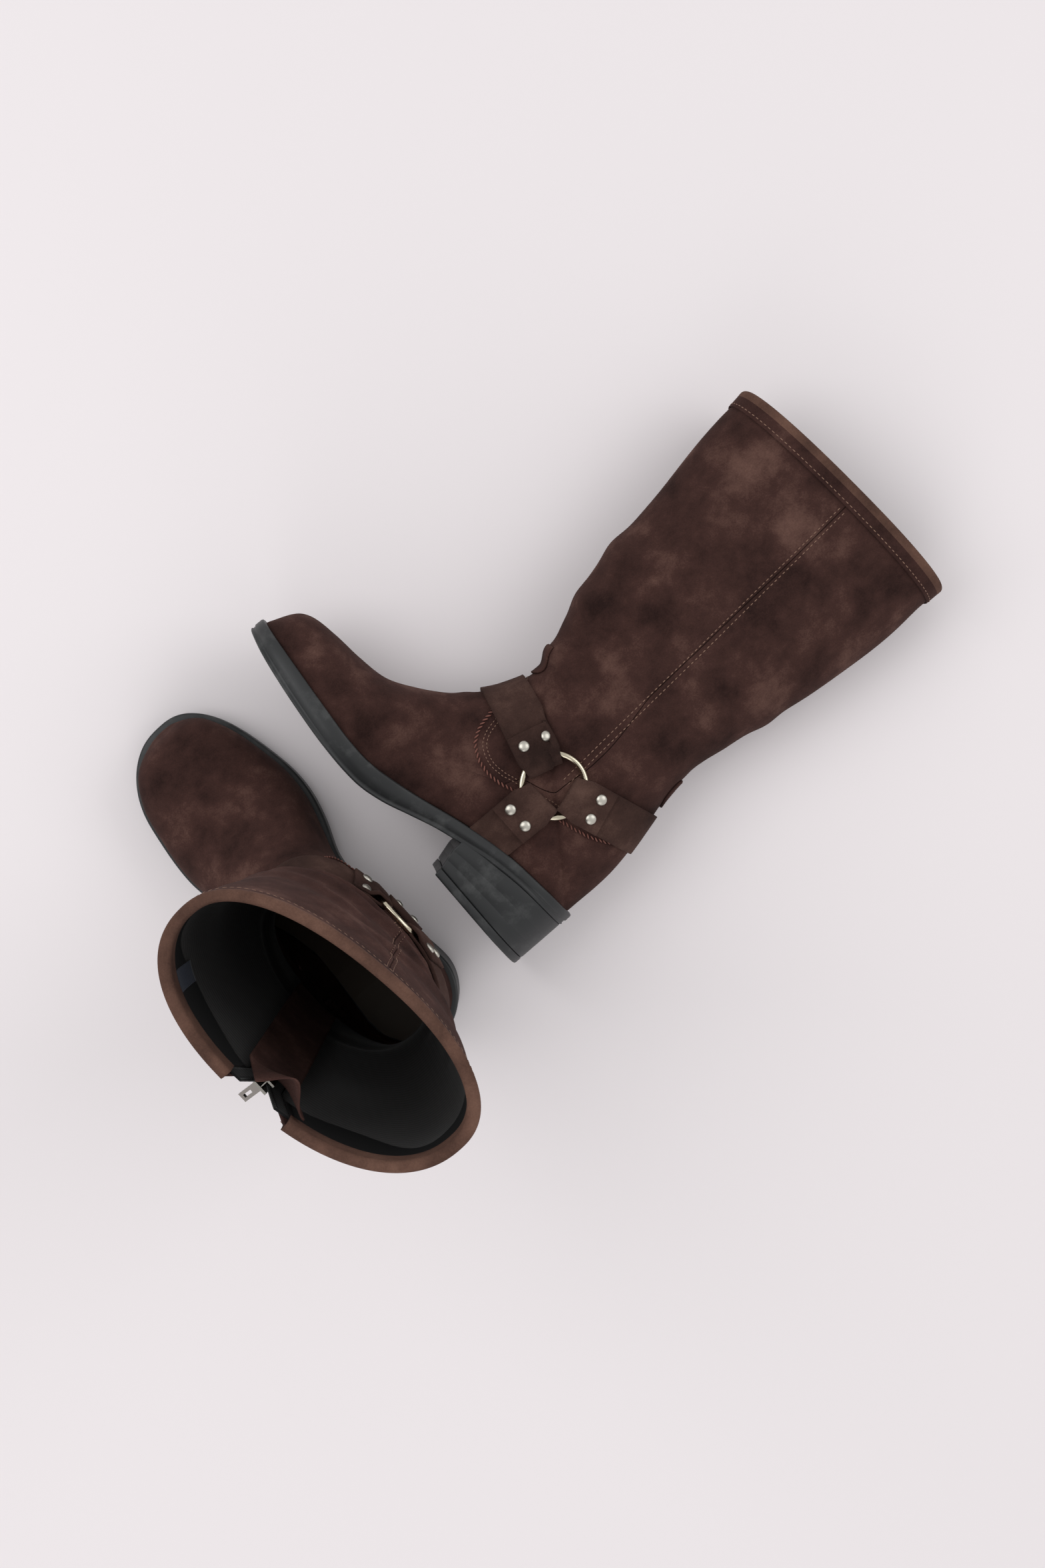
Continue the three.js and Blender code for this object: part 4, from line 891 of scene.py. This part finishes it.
# ---- Size label ----
# A small navy woven label, left blank, sewn upright to the facing at the front of the inner side.
LABEL_DARK, LABEL_NAVY, LABEL_THREAD = "161C29", "1D2433", 0.4
LABEL_LINES, LABEL_HEIGHTS = (-0.54, -0.42), (-12.6, -44)  # body lines, and mm from the rim
LABEL_FACE, LABEL_BACK = -4.15, -4.5
navy_label = material_from("navy_woven_label", CLOTH_FINISH,
                           weave_pattern(LABEL_DARK, LABEL_NAVY, LABEL_THREAD))
for side in SIDES:
    v = np.linspace(*LABEL_LINES, 24)
    levels = [level_u(side, over_rim, h) for h in LABEL_HEIGHTS]
    s = np.linspace(0, 1, 20)[:, None]
    u = levels[0](v) * (1 - s) + levels[1](v) * s
    shell(side, f"{side}_size_label", u, v[None, :], LABEL_FACE, LABEL_BACK, navy_label)

# ---- Zip guard ----
# A suede flap behind the zip, sewn to the back edge; where the zip is open its free edge curls inwards.
GUARD_HALF, GUARD_TOP, GUARD_DEEP, GUARD_THICK = 17.0, 377.0, 5.7, 1.1
GUARD_DRIFT, GUARD_CURL = 0.8, 1.2  # of the zip's opening: how far the flap moves back, and curls in


def near_zip(side, z, y_from_line):
    """Body places at heights z along the zip, at distances in the side view from its line."""
    return on_side(side, -1, seam_y(z) + y_from_line, z)


for side in SIDES:
    z = np.linspace(ZIP_FROM + 8, GUARD_TOP, 60)[:, None]
    t = np.linspace(-1, 1, 22)[None, :]
    opened = parted(side, z)
    u, v = near_zip(side, z, t * GUARD_HALF - opened * GUARD_DRIFT)
    curl = opened * GUARD_CURL * np.sin((t + 1) / 2 * np.pi * 0.9) ** 2
    lift = -SUEDE_THICK - GUARD_DEEP - curl
    shell(side, f"{side}_guard_flap", u, v, lift, lift - GUARD_THICK, brushed_suede,
          [f"{side}_zip_guard"])

# ---- Zip tapes and teeth ----
# Black woven tape sewn behind each edge of the opening, with a coil of moulded teeth along its free edge.
TOOTH_PITCH, TOOTH_SIZE, TOOTH_FROM_LINE, TOOTH_DEEP = 2.1, (2.9, 1.5, 2.4), 2.0, 0.55
TAPE_FROM_LINE, TAPE_FACE, TAPE_BACK, TAPE_TOP, TEETH_TOP = 0.6, 0.3, 1.1, 372, 371
black_tape = material_from("black_zip_tape", CLOTH_FINISH, weave_pattern("0B0B0C", "151516", 0.5))
black_teeth = material_from("black_nylon_teeth", {"Base Color": linear("141415"), "Roughness": 0.42})


def instancer(name, build_shape, material):
    """A node tree that sets one small shape on each vertex of a mesh, turned by its named attributes."""
    tree = bpy.data.node_groups.new(name, "GeometryNodeTree")
    for label, kind in (("Places", "NodeSocketGeometry"), ("Length", "NodeSocketFloat"),
                        ("Width", "NodeSocketFloat"), ("Height", "NodeSocketFloat"),
                        ("Unevenness", "NodeSocketFloat"), ("Seed", "NodeSocketInt")):
        tree.interface.new_socket(name=label, in_out="INPUT", socket_type=kind)
    tree.interface.new_socket(name="Geometry", in_out="OUTPUT", socket_type="NodeSocketGeometry")
    given = add(tree, "NodeGroupInput").outputs
    along, out = (add(tree, "GeometryNodeInputNamedAttribute", {"Name": n}, data_type="FLOAT_VECTOR")
                  for n in ("along", "out"))
    first = add(tree, "FunctionNodeAlignRotationToVector", {"Vector": out.outputs[0]}, axis="Z")
    turn = add(tree, "FunctionNodeAlignRotationToVector",
               {"Rotation": first.outputs[0], "Vector": along.outputs[0]}, axis="X", pivot_axis="Z")
    size = add(tree, "ShaderNodeCombineXYZ", {0: given["Length"], 1: given["Width"], 2: given["Height"]})
    least = add(tree, "ShaderNodeMath", {0: 1.0, 1: given["Unevenness"]}, operation="SUBTRACT")
    varied = add(tree, "FunctionNodeRandomValue", {2: least.outputs[0], 3: 1.0, 8: given["Seed"]},
                 data_type="FLOAT")
    scale = add(tree, "ShaderNodeVectorMath", {0: size.outputs[0], "Scale": varied.outputs[1]},
                operation="SCALE")
    placed = add(tree, "GeometryNodeInstanceOnPoints",
                 {"Points": given["Places"], "Instance": build_shape(tree), "Rotation": turn.outputs[0],
                  "Scale": scale.outputs[0]})
    real = add(tree, "GeometryNodeRealizeInstances", {"Geometry": placed.outputs[0]})
    done = add(tree, "GeometryNodeSetMaterial", {"Geometry": real.outputs[0], "Material": material})
    add(tree, "NodeGroupOutput", {"Geometry": done.outputs[0]})
    return tree


def set_out(name, tree, places, along, out, sizes, body, slot, replaced=(), uneven=0.0, seed=3):
    """Runs an instancer over places (in metres) and keeps the result as a plain mesh piece."""
    seeds = bpy.data.meshes.new(name + "_places")
    seeds.from_pydata(np.asarray(places).reshape(-1, 3).tolist(), [], [])
    for label, vectors in (("along", along), ("out", out)):
        attribute = seeds.attributes.new(label, "FLOAT_VECTOR", "POINT")
        attribute.data.foreach_set("vector", np.asarray(vectors, float).reshape(-1))
    holder = bpy.data.objects.new(name + "_places", seeds)
    bpy.context.scene.collection.objects.link(holder)
    modifier = holder.modifiers.new("set_out", "NODES")
    modifier.node_group = tree
    values = dict(zip(("Length", "Width", "Height"), (size / 1000 for size in sizes)))
    values.update({"Unevenness": uneven, "Seed": seed})
    for item in tree.interface.items_tree:
        if item.in_out == "INPUT" and item.name in values:
            modifier[item.identifier] = values[item.name]
    evaluated = holder.evaluated_get(bpy.context.evaluated_depsgraph_get())
    mesh = bpy.data.meshes.new_from_object(evaluated)
    mesh.name = name
    holder.modifiers.clear()
    bpy.data.objects.remove(holder)
    piece = bpy.data.objects.new(name, mesh)
    bpy.context.scene.collection.objects.link(piece)
    finish_piece(piece, body, replaced)
    return piece


def turned(side, at, vectors):
    """Directions of a boot's own frame as they are once it is set down, at given places."""
    moved = set_down(side, at + vectors) - set_down(side, at)
    return moved / np.linalg.norm(moved, axis=-1, keepdims=True)


def bead(tree):
    """A rounded bead one unit long, wide and high: a stitch or a coil's turn."""
    ball = add(tree, "GeometryNodeMeshUVSphere", {"Segments": 8, "Rings": 5, "Radius": 0.5})
    soft = add(tree, "GeometryNodeSetShadeSmooth", {"Geometry": ball.outputs[0]})
    return soft.outputs[0]


tooth_rows = instancer("teeth_along_a_tape", bead, black_teeth)
for side in SIDES:
    for name, way in (("front", 1), ("back", -1)):
        z = np.concatenate([np.linspace(ZIP_FROM + 4, 300, 50), np.linspace(303, TAPE_TOP, 36)])[:, None]
        t = np.linspace(0, 1, 8)[None, :]
        shift = parted(side, z)
        u, v = near_zip(side, z, way * (TAPE_FROM_LINE + (TAPE_HALF - TAPE_FROM_LINE) * t + shift))
        shell(side, f"{side}_tape_{name}", u, v, -SUEDE_THICK - TAPE_FACE, -SUEDE_THICK - TAPE_BACK,
              black_tape, [f"{side}_zip_{name}"])
        z = np.arange(ZIP_FROM + 5, TEETH_TOP, TOOTH_PITCH)
        u, v = near_zip(side, z, way * (TOOTH_FROM_LINE + parted(side, z)))
        at = skin(side, u, v, -SUEDE_THICK - TOOTH_DEEP)
        out = plain_normal(side, u, v)
        step = near_zip(side, z + 1, way * (TOOTH_FROM_LINE + parted(side, z)))
        up = skin(side, *step, -SUEDE_THICK - TOOTH_DEEP) - at
        across = np.cross(up, out)
        set_out(f"{side}_teeth_{name}", tooth_rows, set_down(side, at), turned(side, at, across),
                turned(side, at, out), TOOTH_SIZE, f"{side}_boot", "tape")

# ---- Slider and pull ----
# Cast zinc, nickel plated and dulled: a slider with two ears, and a flat pull with a window in it.
dulled_nickel = material_from("dulled_nickel", {"Base Color": linear("9A9690"), "Metallic": 1.0,
                                                "Roughness": 0.32})


def softened(node_name, piece_name, offset, material, body):
    """A finer copy of a small hard frame piece, with its edges rounded."""
    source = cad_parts[node_name]
    whole = bmesh.new()
    whole.from_mesh(source.data)
    bmesh.ops.remove_doubles(whole, verts=whole.verts, dist=1e-6)
    bmesh.ops.dissolve_limit(whole, angle_limit=math.radians(2), verts=whole.verts, edges=whole.edges)
    sharp = [e for e in whole.edges if len(e.link_faces) == 2 and e.calc_face_angle(0) > math.radians(40)]
    bmesh.ops.bevel(whole, geom=sharp, offset=offset / 1000, segments=2, profile=0.5, affect="EDGES",
                    clamp_overlap=True)
    mesh = bpy.data.meshes.new(piece_name)
    whole.to_mesh(mesh)
    whole.free()
    mesh.materials.append(material)
    piece = bpy.data.objects.new(piece_name, mesh)
    bpy.context.scene.collection.objects.link(piece)
    finish_piece(piece, body, [node_name])


for side in SIDES:
    softened(f"{side}_zip_slider", f"{side}_slider_cast", 0.22, dulled_nickel, f"{side}_zip_slider_body")
    softened(f"{side}_zip_pull", f"{side}_pull_plate", 0.2, dulled_nickel, f"{side}_zip_pull_body")

# ---- Tabs at the ankle ----
# A small suede tab with a rounded end, sewn on over the front and back ends of the shaft's seam.
TAB_WIDTH, TAB_HEIGHT, TAB_THICK, TAB_EDGE = 26.0, 23.0, 1.6, 1.3
for side in SIDES:
    for name, base, middle in (("front", 138.0, 0.0), ("back", 145.0, 2.0)):
        h = np.concatenate([[0.15, 0.4], np.linspace(0.9, TAB_HEIGHT, 26)])
        half = TAB_WIDTH / 2 * np.minimum(1, (1 - (1 - np.clip(h / 11, 0, 1)) ** 2.4)) ** (1 / 2.4)
        fine = middle + np.linspace(-0.75, 0.75, 121)
        z = (base + h)[:, None]
        u = root(lambda u: plain_point(side, u, fine)[..., 2] - z, np.full((len(h), 121), KNOTS[9]),
                 np.full((len(h), 121), U_END))
        x = plain_point(side, u, fine)[..., 0]
        way = 1 if middle == 0 else -1
        share = np.linspace(-1, 1, 31)
        v = np.stack([np.interp(share * w * way, x[i][::way], fine[::way]) for i, w in enumerate(half)])
        u = np.stack([np.interp(v[i], fine, u[i]) for i in range(len(h))])
        lift = np.full(u.shape, GAP + TAB_THICK)
        lift[0] = lift[-1] = lift[:, 0] = lift[:, -1] = TAB_EDGE
        shell(side, f"{side}_{name}_ankle_tab", u, v, lift, GAP, brushed_suede,
              [f"{side}_{name}_tab"])

# ---- Harness straps ----
# Each strap is a ribbon of heavier suede. Its end goes through the ring, is folded back on itself and held
# by two rivets; the front strap crosses the instep, the rear one the heel, and the third goes to the sole.
RING_Y, RING_Z, RING_RADIUS, RING_WIRE, RING_HIGH = 80.0, 99.0, 21.4, 2.1, 5.0
STRAP_HALF, NECK_HALF, STRAP_LIFT = 15.5, 12.0, 1.8
NOSE, STRAP_TAIL, STRAP_PLAIN = 10.5, 40.0, 46.0
STRAP_ANGLES = {"front": 15.0, "rear": 160.0, "down": -91.0}
STRAP_DARK, STRAP_BROWN, STRAP_LIGHT = "281B18", "3F2D28", "5B453D"
strap_suede = material_from("dark_brown_strap_suede", SUEDE_FINISH,
                            suede_pattern(STRAP_DARK, STRAP_BROWN, STRAP_LIGHT))
# The ribbon's middle line at one end, from its tail over the fold to the plain strap.
# Columns: place along the strap, height, how far it follows the flat ring, and thickness.
FOLD_R, FOLD_MIDDLE = 3.3, 4.85
turn_angles = np.linspace(np.pi / 2, 3 * np.pi / 2, 11)
STRAP_END = np.concatenate([
    [(STRAP_TAIL, 4.35, 0, 2.3), (STRAP_TAIL - 0.4, 4.35, 0, 2.4), (36, 4.35, 0, 2.4), (31.5, 4.35, 0, 2.4),
     (28.6, 4.4, 0, 2.4), (27.2, 4.7, 0.1, 2.3), (25.8, 5.6, 0.35, 2.1), (24.4, 6.9, 0.7, 1.9),
     (23.2, 7.8, 0.95, 1.8), (21.8, 8.15, 1, 1.8), (18.5, 8.2, 1, 1.8)],
    [(NOSE + 0.9 + FOLD_R + FOLD_R * math.cos(a), FOLD_MIDDLE + FOLD_R * math.sin(a),
      (1 + math.sin(a)) / 2, 1.8) for a in turn_angles],
    [(18.5, 1.5, 0, 1.8), (23, 1.5, 0, 1.8), (26, 1.6, 0, 1.9), (28.5, 1.8, 0, 2.4), (34, 1.8, 0, 2.4),
     (STRAP_TAIL, 1.8, 0, 2.4), (STRAP_PLAIN, 1.8, 0, 2.4)]])


def strap_table(side, degrees, v, low, high, sign):
    """Over a strap's band: distances across it (rows) and body lines v (columns) to u and place along."""
    c, s = math.cos(math.radians(degrees)), math.sin(math.radians(degrees))
    across = np.linspace(-17, 17, 18)

    def off(u):
        p = plain_point(side, u, v[None, :])
        return sign * (-s * (p[..., 1] - RING_Y) + c * (p[..., 2] - RING_Z) - across[:, None])
    u = root(off, np.full((18, len(v)), low), np.full((18, len(v)), high))
    p = plain_point(side, u, np.broadcast_to(v, u.shape))
    return across, v, u, c * (p[..., 1] - RING_Y) + s * (p[..., 2] - RING_Z)


def strap_band(side, name, way):
    """A strap's table, and a test for the body lines that belong to its outer (1) or inner (-1) half."""
    degrees = STRAP_ANGLES[name]
    if name == "front":
        table = strap_table(side, degrees, np.linspace(-1.7, 1.7, 341), 12.0, U_END - 40, 1)
        return table, lambda v: v * way > 0
    if name == "rear":
        table = strap_table(side, degrees, np.linspace(0.6, 3.4, 341), KNOTS[11], U_END - 40, -1)
        return table, lambda v: (v - 2) * way < 0
    table = strap_table(side, degrees, np.sort(way * np.linspace(0.6, 2.0, 200)), KNOTS[4], KNOTS[15], -1)
    return table, lambda v: v * way > 0.2


def by_place(table, half, place, across):
    """u and v where a strap's half passes a place along it, at a distance across it."""
    rows, v, u, along = table
    keep = half(v)
    k = np.clip(np.searchsorted(rows, across, "right") - 1, 0, len(rows) - 2)
    q = (across - rows[k]) / (rows[1] - rows[0])
    found = []
    for row in range(len(rows)):
        order = np.argsort(along[row][keep])
        found.append((np.interp(place, along[row][keep][order], u[row][keep][order]),
                      np.interp(place, along[row][keep][order], v[keep][order])))
    us, vs = np.array([f[0] for f in found]), np.array([f[1] for f in found])
    pick = (np.arange(len(place)),)
    return tuple(found[(k, *pick)] * (1 - q) + found[(k + 1, *pick)] * q for found in (us, vs))


def by_line(table, v_wanted, across):
    """u where a strap meets body lines v, at a distance across it."""
    rows, v, u, _ = table
    k = min(max(int(np.searchsorted(rows, across, "right")) - 1, 0), len(rows) - 2)
    q = (across - rows[k]) / (rows[1] - rows[0])
    return np.interp(v_wanted, v, u[k]) * (1 - q) + np.interp(v_wanted, v, u[k + 1]) * q


def ribbon(side, table, halves, middle_steps, piece_name, replaced, sole_end=False):
    """A strap from one folded end to the other, or down to the sole, as a closed ribbon."""
    centre_x = {}
    for _, way in halves:
        centre_x[way] = abs(RING_SURFACE[side][way])
    shares = np.array([-1, -0.985, -0.8, -0.5, -0.2, 0.2, 0.5, 0.8, 0.985, 1])
    faces_out, faces_in = [], []
    for share in shares:
        squeeze = 0.55 if abs(share) == 1 else 1.0
        outs, inns = [], []
        ends = []
        for half, way in halves:
            line = STRAP_END if way == halves[0][1] else STRAP_END[::-1]
            along = np.gradient(line[:, :2], axis=0)
            along /= np.linalg.norm(along, axis=1)[:, None]
            normal = np.stack([along[:, 1], -along[:, 0]], 1)
            if way != halves[0][1]:
                normal = -normal
            sides = []
            for sign in (1, -1):
                shift = sign * normal * (line[:, 3:4] / 2 * squeeze)
                if way != halves[0][1]:
                    shift = -shift
                r, lift = line[:, 0] + shift[:, 0], line[:, 1] + shift[:, 1]
                width = NECK_HALF + (STRAP_HALF - NECK_HALF) * np.clip((r - NOSE) / 12, 0, 1)
                u, v = by_place(table, half, r, share * width)
                p = plain_point(side, u, v)
                delta = centre_x[way] - np.abs(p[..., 0])
                sides.append((u, v, lift + np.clip(delta, -4, 6) * line[:, 2]))
            ends.append(sides)
        across = share * STRAP_HALF
        v0 = ends[0][0][1][-1]
        v1 = ends[1][0][1][0] if len(ends) > 1 else sole_end
        v_middle = v0 + (v1 - v0) * np.linspace(0, 1, middle_steps + 2)[1:None if sole_end else -1]
        u_middle = by_line(table, v_middle, across)
        for kind, store in ((0, outs), (1, inns)):
            parts = [ends[0][kind]]
            half_thick = 1.2 * squeeze * (-1 if kind == 0 else 1)
            parts.append((u_middle, v_middle, np.full(len(v_middle), STRAP_LIFT + half_thick)))
            if len(ends) > 1:
                parts.append(ends[1][kind])
            u, v, lift = (np.concatenate([np.atleast_1d(part[i]) for part in parts]) for i in range(3))
            plain = plain_point(side, u, v)
            fold = fold_height(side, plain) * 0.3
            store.append(plain + plain_normal(side, u, v) * (lift + fold)[:, None])
        faces_out.append(outs[0])
        faces_in.append(inns[0])
    outer, inner = np.stack(faces_out), np.stack(faces_in)
    rows, columns = outer.shape[:2]
    points = np.concatenate([outer.reshape(-1, 3), inner.reshape(-1, 3)])
    size, faces = rows * columns, []
    for i in range(rows - 1):
        for j in range(columns - 1):
            a, d = i * columns + j, (i + 1) * columns + j
            b, c = a + 1, d + 1
            faces += [(a, b, c, d), (size + d, size + c, size + b, size + a)]
    for j in range(columns - 1):
        for a, b in ((j, j + 1), ((rows - 1) * columns + j + 1, (rows - 1) * columns + j)):
            faces.append((b, a, size + a, size + b))
    for i in range(rows - 1):
        for a, b in (((i + 1) * columns, i * columns), (i * columns + columns - 1, (i + 2) * columns - 1)):
            faces.append((b, a, size + a, size + b))
    make_piece(piece_name, set_down(side, points), faces, strap_suede, f"{side}_boot", replaced)


RING_SURFACE = {}  # how far out the body is behind each ring
for side in SIDES:
    RING_SURFACE[side] = {}
    for way in (1, -1):
        line = way * np.linspace(0.9, 1.9, 60)
        u = root(lambda u: plain_point(side, u, line)[..., 2] - RING_Z, np.full(60, KNOTS[10]),
                 np.full(60, KNOTS[20]))
        p = plain_point(side, u, line)
        order = np.argsort(p[:, 1])
        RING_SURFACE[side][way] = float(np.interp(RING_Y, p[order, 1], p[order, 0]))
for side in SIDES:
    for name, label in (("front", "instep"), ("rear", "heel")):
        table, outer_lines = strap_band(side, name, 1)
        inner_lines = strap_band(side, name, -1)[1]
        ribbon(side, table, ((outer_lines, 1), (inner_lines, -1)), 60, f"{side}_{label}_strap",
               [f"{side}_strap_{name}"])
    for way, name in ((1, "lateral"), (-1, "medial")):
        table, own_lines = strap_band(side, "down", way)
        ribbon(side, table, ((own_lines, way),), 14, f"{side}_{name}_sole_strap", [f"{side}_strap_{name}"],
               sole_end=way * 1.985)

# ---- Rings ----
# Round wire, welded and polished, nickel plated with a warm tone; each hangs in its three strap loops.
pale_nickel = material_from("polished_pale_nickel", {"Base Color": linear("CFC6B0"), "Metallic": 1.0,
                                                     "Roughness": 0.16})
for side in SIDES:
    for name, way in (("lateral", 1), ("medial", -1)):
        around, wire = np.meshgrid(np.arange(120) / 120 * 2 * np.pi, np.arange(20) / 20 * 2 * np.pi,
                                   indexing="ij")
        reach = RING_RADIUS + RING_WIRE * np.cos(wire)
        x = RING_SURFACE[side][way] + way * RING_HIGH + RING_WIRE * np.sin(wire)
        points = np.stack([x, RING_Y + reach * np.cos(around), RING_Z + reach * np.sin(around)], -1)
        faces = loft_faces(120, 20, capped=False)
        faces += [(119 * 20 + j, 119 * 20 + (j + 1) % 20, (j + 1) % 20, j) for j in range(20)]
        make_piece(f"{side}_{name}_harness_ring", set_down(side, points), faces, pale_nickel,
                   f"{side}_ring_{name}_body", [f"{side}_ring_{name}"])

# ---- Rivets ----
# Tubular rivets with domed caps, satin nickel, two through each folded strap end on both sides.
RIVET_FROM, RIVET_APART, RIVET_HEAD, RIVET_RISE, RIVET_LIFT = 31.5, 14.6, 3.8, 1.9, 6.0
satin_nickel = material_from("satin_nickel", {"Base Color": linear("C9C5BB"), "Metallic": 1.0,
                                              "Roughness": 0.4})


def domed_head(tree):
    """A ball of one unit radius, which its sizes press into a shallow dome half sunk in the strap."""
    ball = add(tree, "GeometryNodeMeshUVSphere", {"Segments": 28, "Rings": 14, "Radius": 1.0})
    soft = add(tree, "GeometryNodeSetShadeSmooth", {"Geometry": ball.outputs[0]})
    return soft.outputs[0]


rivet_heads = instancer("rivet_heads", domed_head, satin_nickel)
for side in SIDES:
    for way in (1, -1):
        for name, degrees in STRAP_ANGLES.items():
            c, s = math.cos(math.radians(degrees)), math.sin(math.radians(degrees))
            table, half = strap_band(side, name, way)
            places, outs = [], []
            for end in (1, -1):
                u, v = by_place(table, half, np.array([RIVET_FROM]), np.array([end * RIVET_APART / 2]))
                places.append(skin(side, u, v, RIVET_LIFT)[0])
                outs.append(plain_normal(side, u, v)[0])
            places, outs = np.array(places), np.array(outs)
            ahead = np.array([(0, c, s)] * 2)
            replaced = [f"{side}_rivet_{name}_low", f"{side}_rivet_{name}_high"] if way > 0 else ()
            label = "outer" if way > 0 else "inner"
            set_out(f"{side}_{label}_{name}_rivets", rivet_heads, set_down(side, places),
                    turned(side, places, ahead), turned(side, places, outs),
                    (RIVET_HEAD, RIVET_HEAD, RIVET_RISE), f"{side}_boot", "rivet", replaced)

# ---- Stitches ----
# A thick waxed thread whips the foot's edge to the shaft along the curved seam; two fine rows follow it on
# the shaft, two close the side seam, one edges the zip on each side, and one holds the binding.
THREAD_THICK, THREAD_FINE = "6E4238", "7E6050"
thick_thread = material_from("thick_red_brown_thread", {"Base Color": linear(THREAD_THICK), "Roughness": 0.7})
fine_thread = material_from("fine_brown_thread", {"Base Color": linear(THREAD_FINE), "Roughness": 0.7})


def stitch_line(side, u, v, lift, pitch, slant=0.0):
    """Even places along a line on the body, with their directions along it and out of it."""
    at = skin(side, u, v, lift)
    length = np.concatenate([[0], np.cumsum(np.linalg.norm(np.diff(at, axis=0), axis=1))])
    marks = np.arange(pitch, length[-1] - pitch / 2, pitch)
    spread = np.stack([np.interp(marks, length, at[:, i]) for i in range(3)], 1)
    ahead = np.stack([np.interp(marks + 0.5, length, at[:, i]) for i in range(3)], 1) - spread
    ahead /= np.linalg.norm(ahead, axis=1)[:, None]
    normals = plain_normal(side, u, v)
    out = np.stack([np.interp(marks, length, normals[:, i]) for i in range(3)], 1)
    out /= np.linalg.norm(out, axis=1)[:, None]
    across = np.cross(out, ahead)
    ahead = ahead * math.cos(math.radians(slant)) + across * math.sin(math.radians(slant))
    return set_down(side, spread), turned(side, spread, ahead), turned(side, spread, out)


thick_stitches = instancer("whip_stitches", bead, thick_thread)
fine_stitches = instancer("fine_stitches", bead, fine_thread)
BODY_LINES_SEWN = 1.97  # the seam's stitches stop just short of the heel's middle
WHIP_PITCH, WHIP_SLANT, WHIP_SIZE = 3.3, 38, (4.6, 1.25, 1.1)
SEAM_PITCH, SEAM_SIZE = 2.7, (1.9, 0.7, 0.55)
SHAFT_PITCH, SHAFT_SIZE = 3.7, (2.7, 0.7, 0.55)
BINDING_PITCH, BINDING_STITCH = 3.8, (2.8, 0.7, 0.5)


def sewn_line(side, rise):
    """Body places along the curved seam at a height over it, as u and v."""
    return along_level(side, over_seam, rise, -BODY_LINES_SEWN, BODY_LINES_SEWN, np.linspace(0, 1, 1600)).T


for side in SIDES:
    whip = stitch_line(side, *sewn_line(side, -0.3), FOOT_OVER + 0.25, WHIP_PITCH, slant=WHIP_SLANT)
    set_out(f"{side}_whip_stitch", thick_stitches, *whip, WHIP_SIZE, f"{side}_boot", "suede", uneven=0.12)
    for name, rise in (("low", 4.6), ("high", 7.2)):
        row = stitch_line(side, *sewn_line(side, rise), 0.12, SEAM_PITCH)
        set_out(f"{side}_seam_row_{name}", fine_stitches, *row, SEAM_SIZE, f"{side}_boot", "suede", uneven=0.1)
    z = np.linspace(104, rim_z(94) - BINDING_HEIGHT - 1, 500)
    for name, gap in (("front", 2.2), ("back", -2.2)):
        row = stitch_line(side, *on_side(side, 1, seam_y(z) + gap, z), 0.12, SHAFT_PITCH)
        set_out(f"{side}_side_seam_row_{name}", fine_stitches, *row, SHAFT_SIZE, f"{side}_boot", "suede",
                uneven=0.1)
    z = np.linspace(ZIP_FROM + 8, rim_z(94) - BINDING_HEIGHT - 1, 400)
    for name, way in (("front", 1), ("back", -1)):
        row = stitch_line(side, *near_zip(side, z, way * (ZIP_SLOT + 2.4 + parted(side, z))), 0.12, SHAFT_PITCH)
        set_out(f"{side}_zip_row_{name}", fine_stitches, *row, SHAFT_SIZE, f"{side}_boot", "suede",
                uneven=0.1)
    edge = level_u(side, over_rim, 2.2 - BINDING_HEIGHT)
    ends = rim_ends(side, edge, ZIP_SLOT + 1)
    v = np.linspace(ends[0], ends[1] + 4, 1200)
    row = stitch_line(side, edge(v), v, 1.45, BINDING_PITCH)
    set_out(f"{side}_binding_row", fine_stitches, *row, BINDING_STITCH, f"{side}_boot", "binding", uneven=0.1)

# ---- Inside the foot: board, footbed and shank ----
# A pressed leather board, a soft leather footbed on it and a steel strip under it, all out of sight.
plain_insides = {
    "insole_board": material_from("pressed_leather_board", {"Base Color": linear("8C6F4E"), "Roughness": 0.85}),
    "footbed": material_from("smooth_footbed_leather", {"Base Color": linear("55483C"), "Roughness": 0.6}),
    "shank": material_from("plain_spring_steel", {"Base Color": linear("8D9093"), "Metallic": 1.0,
                                                  "Roughness": 0.45}),
}
for side in SIDES:
    for name, finish in plain_insides.items():
        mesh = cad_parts[f"{side}_{name}"].data
        mesh.materials.clear()
        mesh.materials.append(finish)
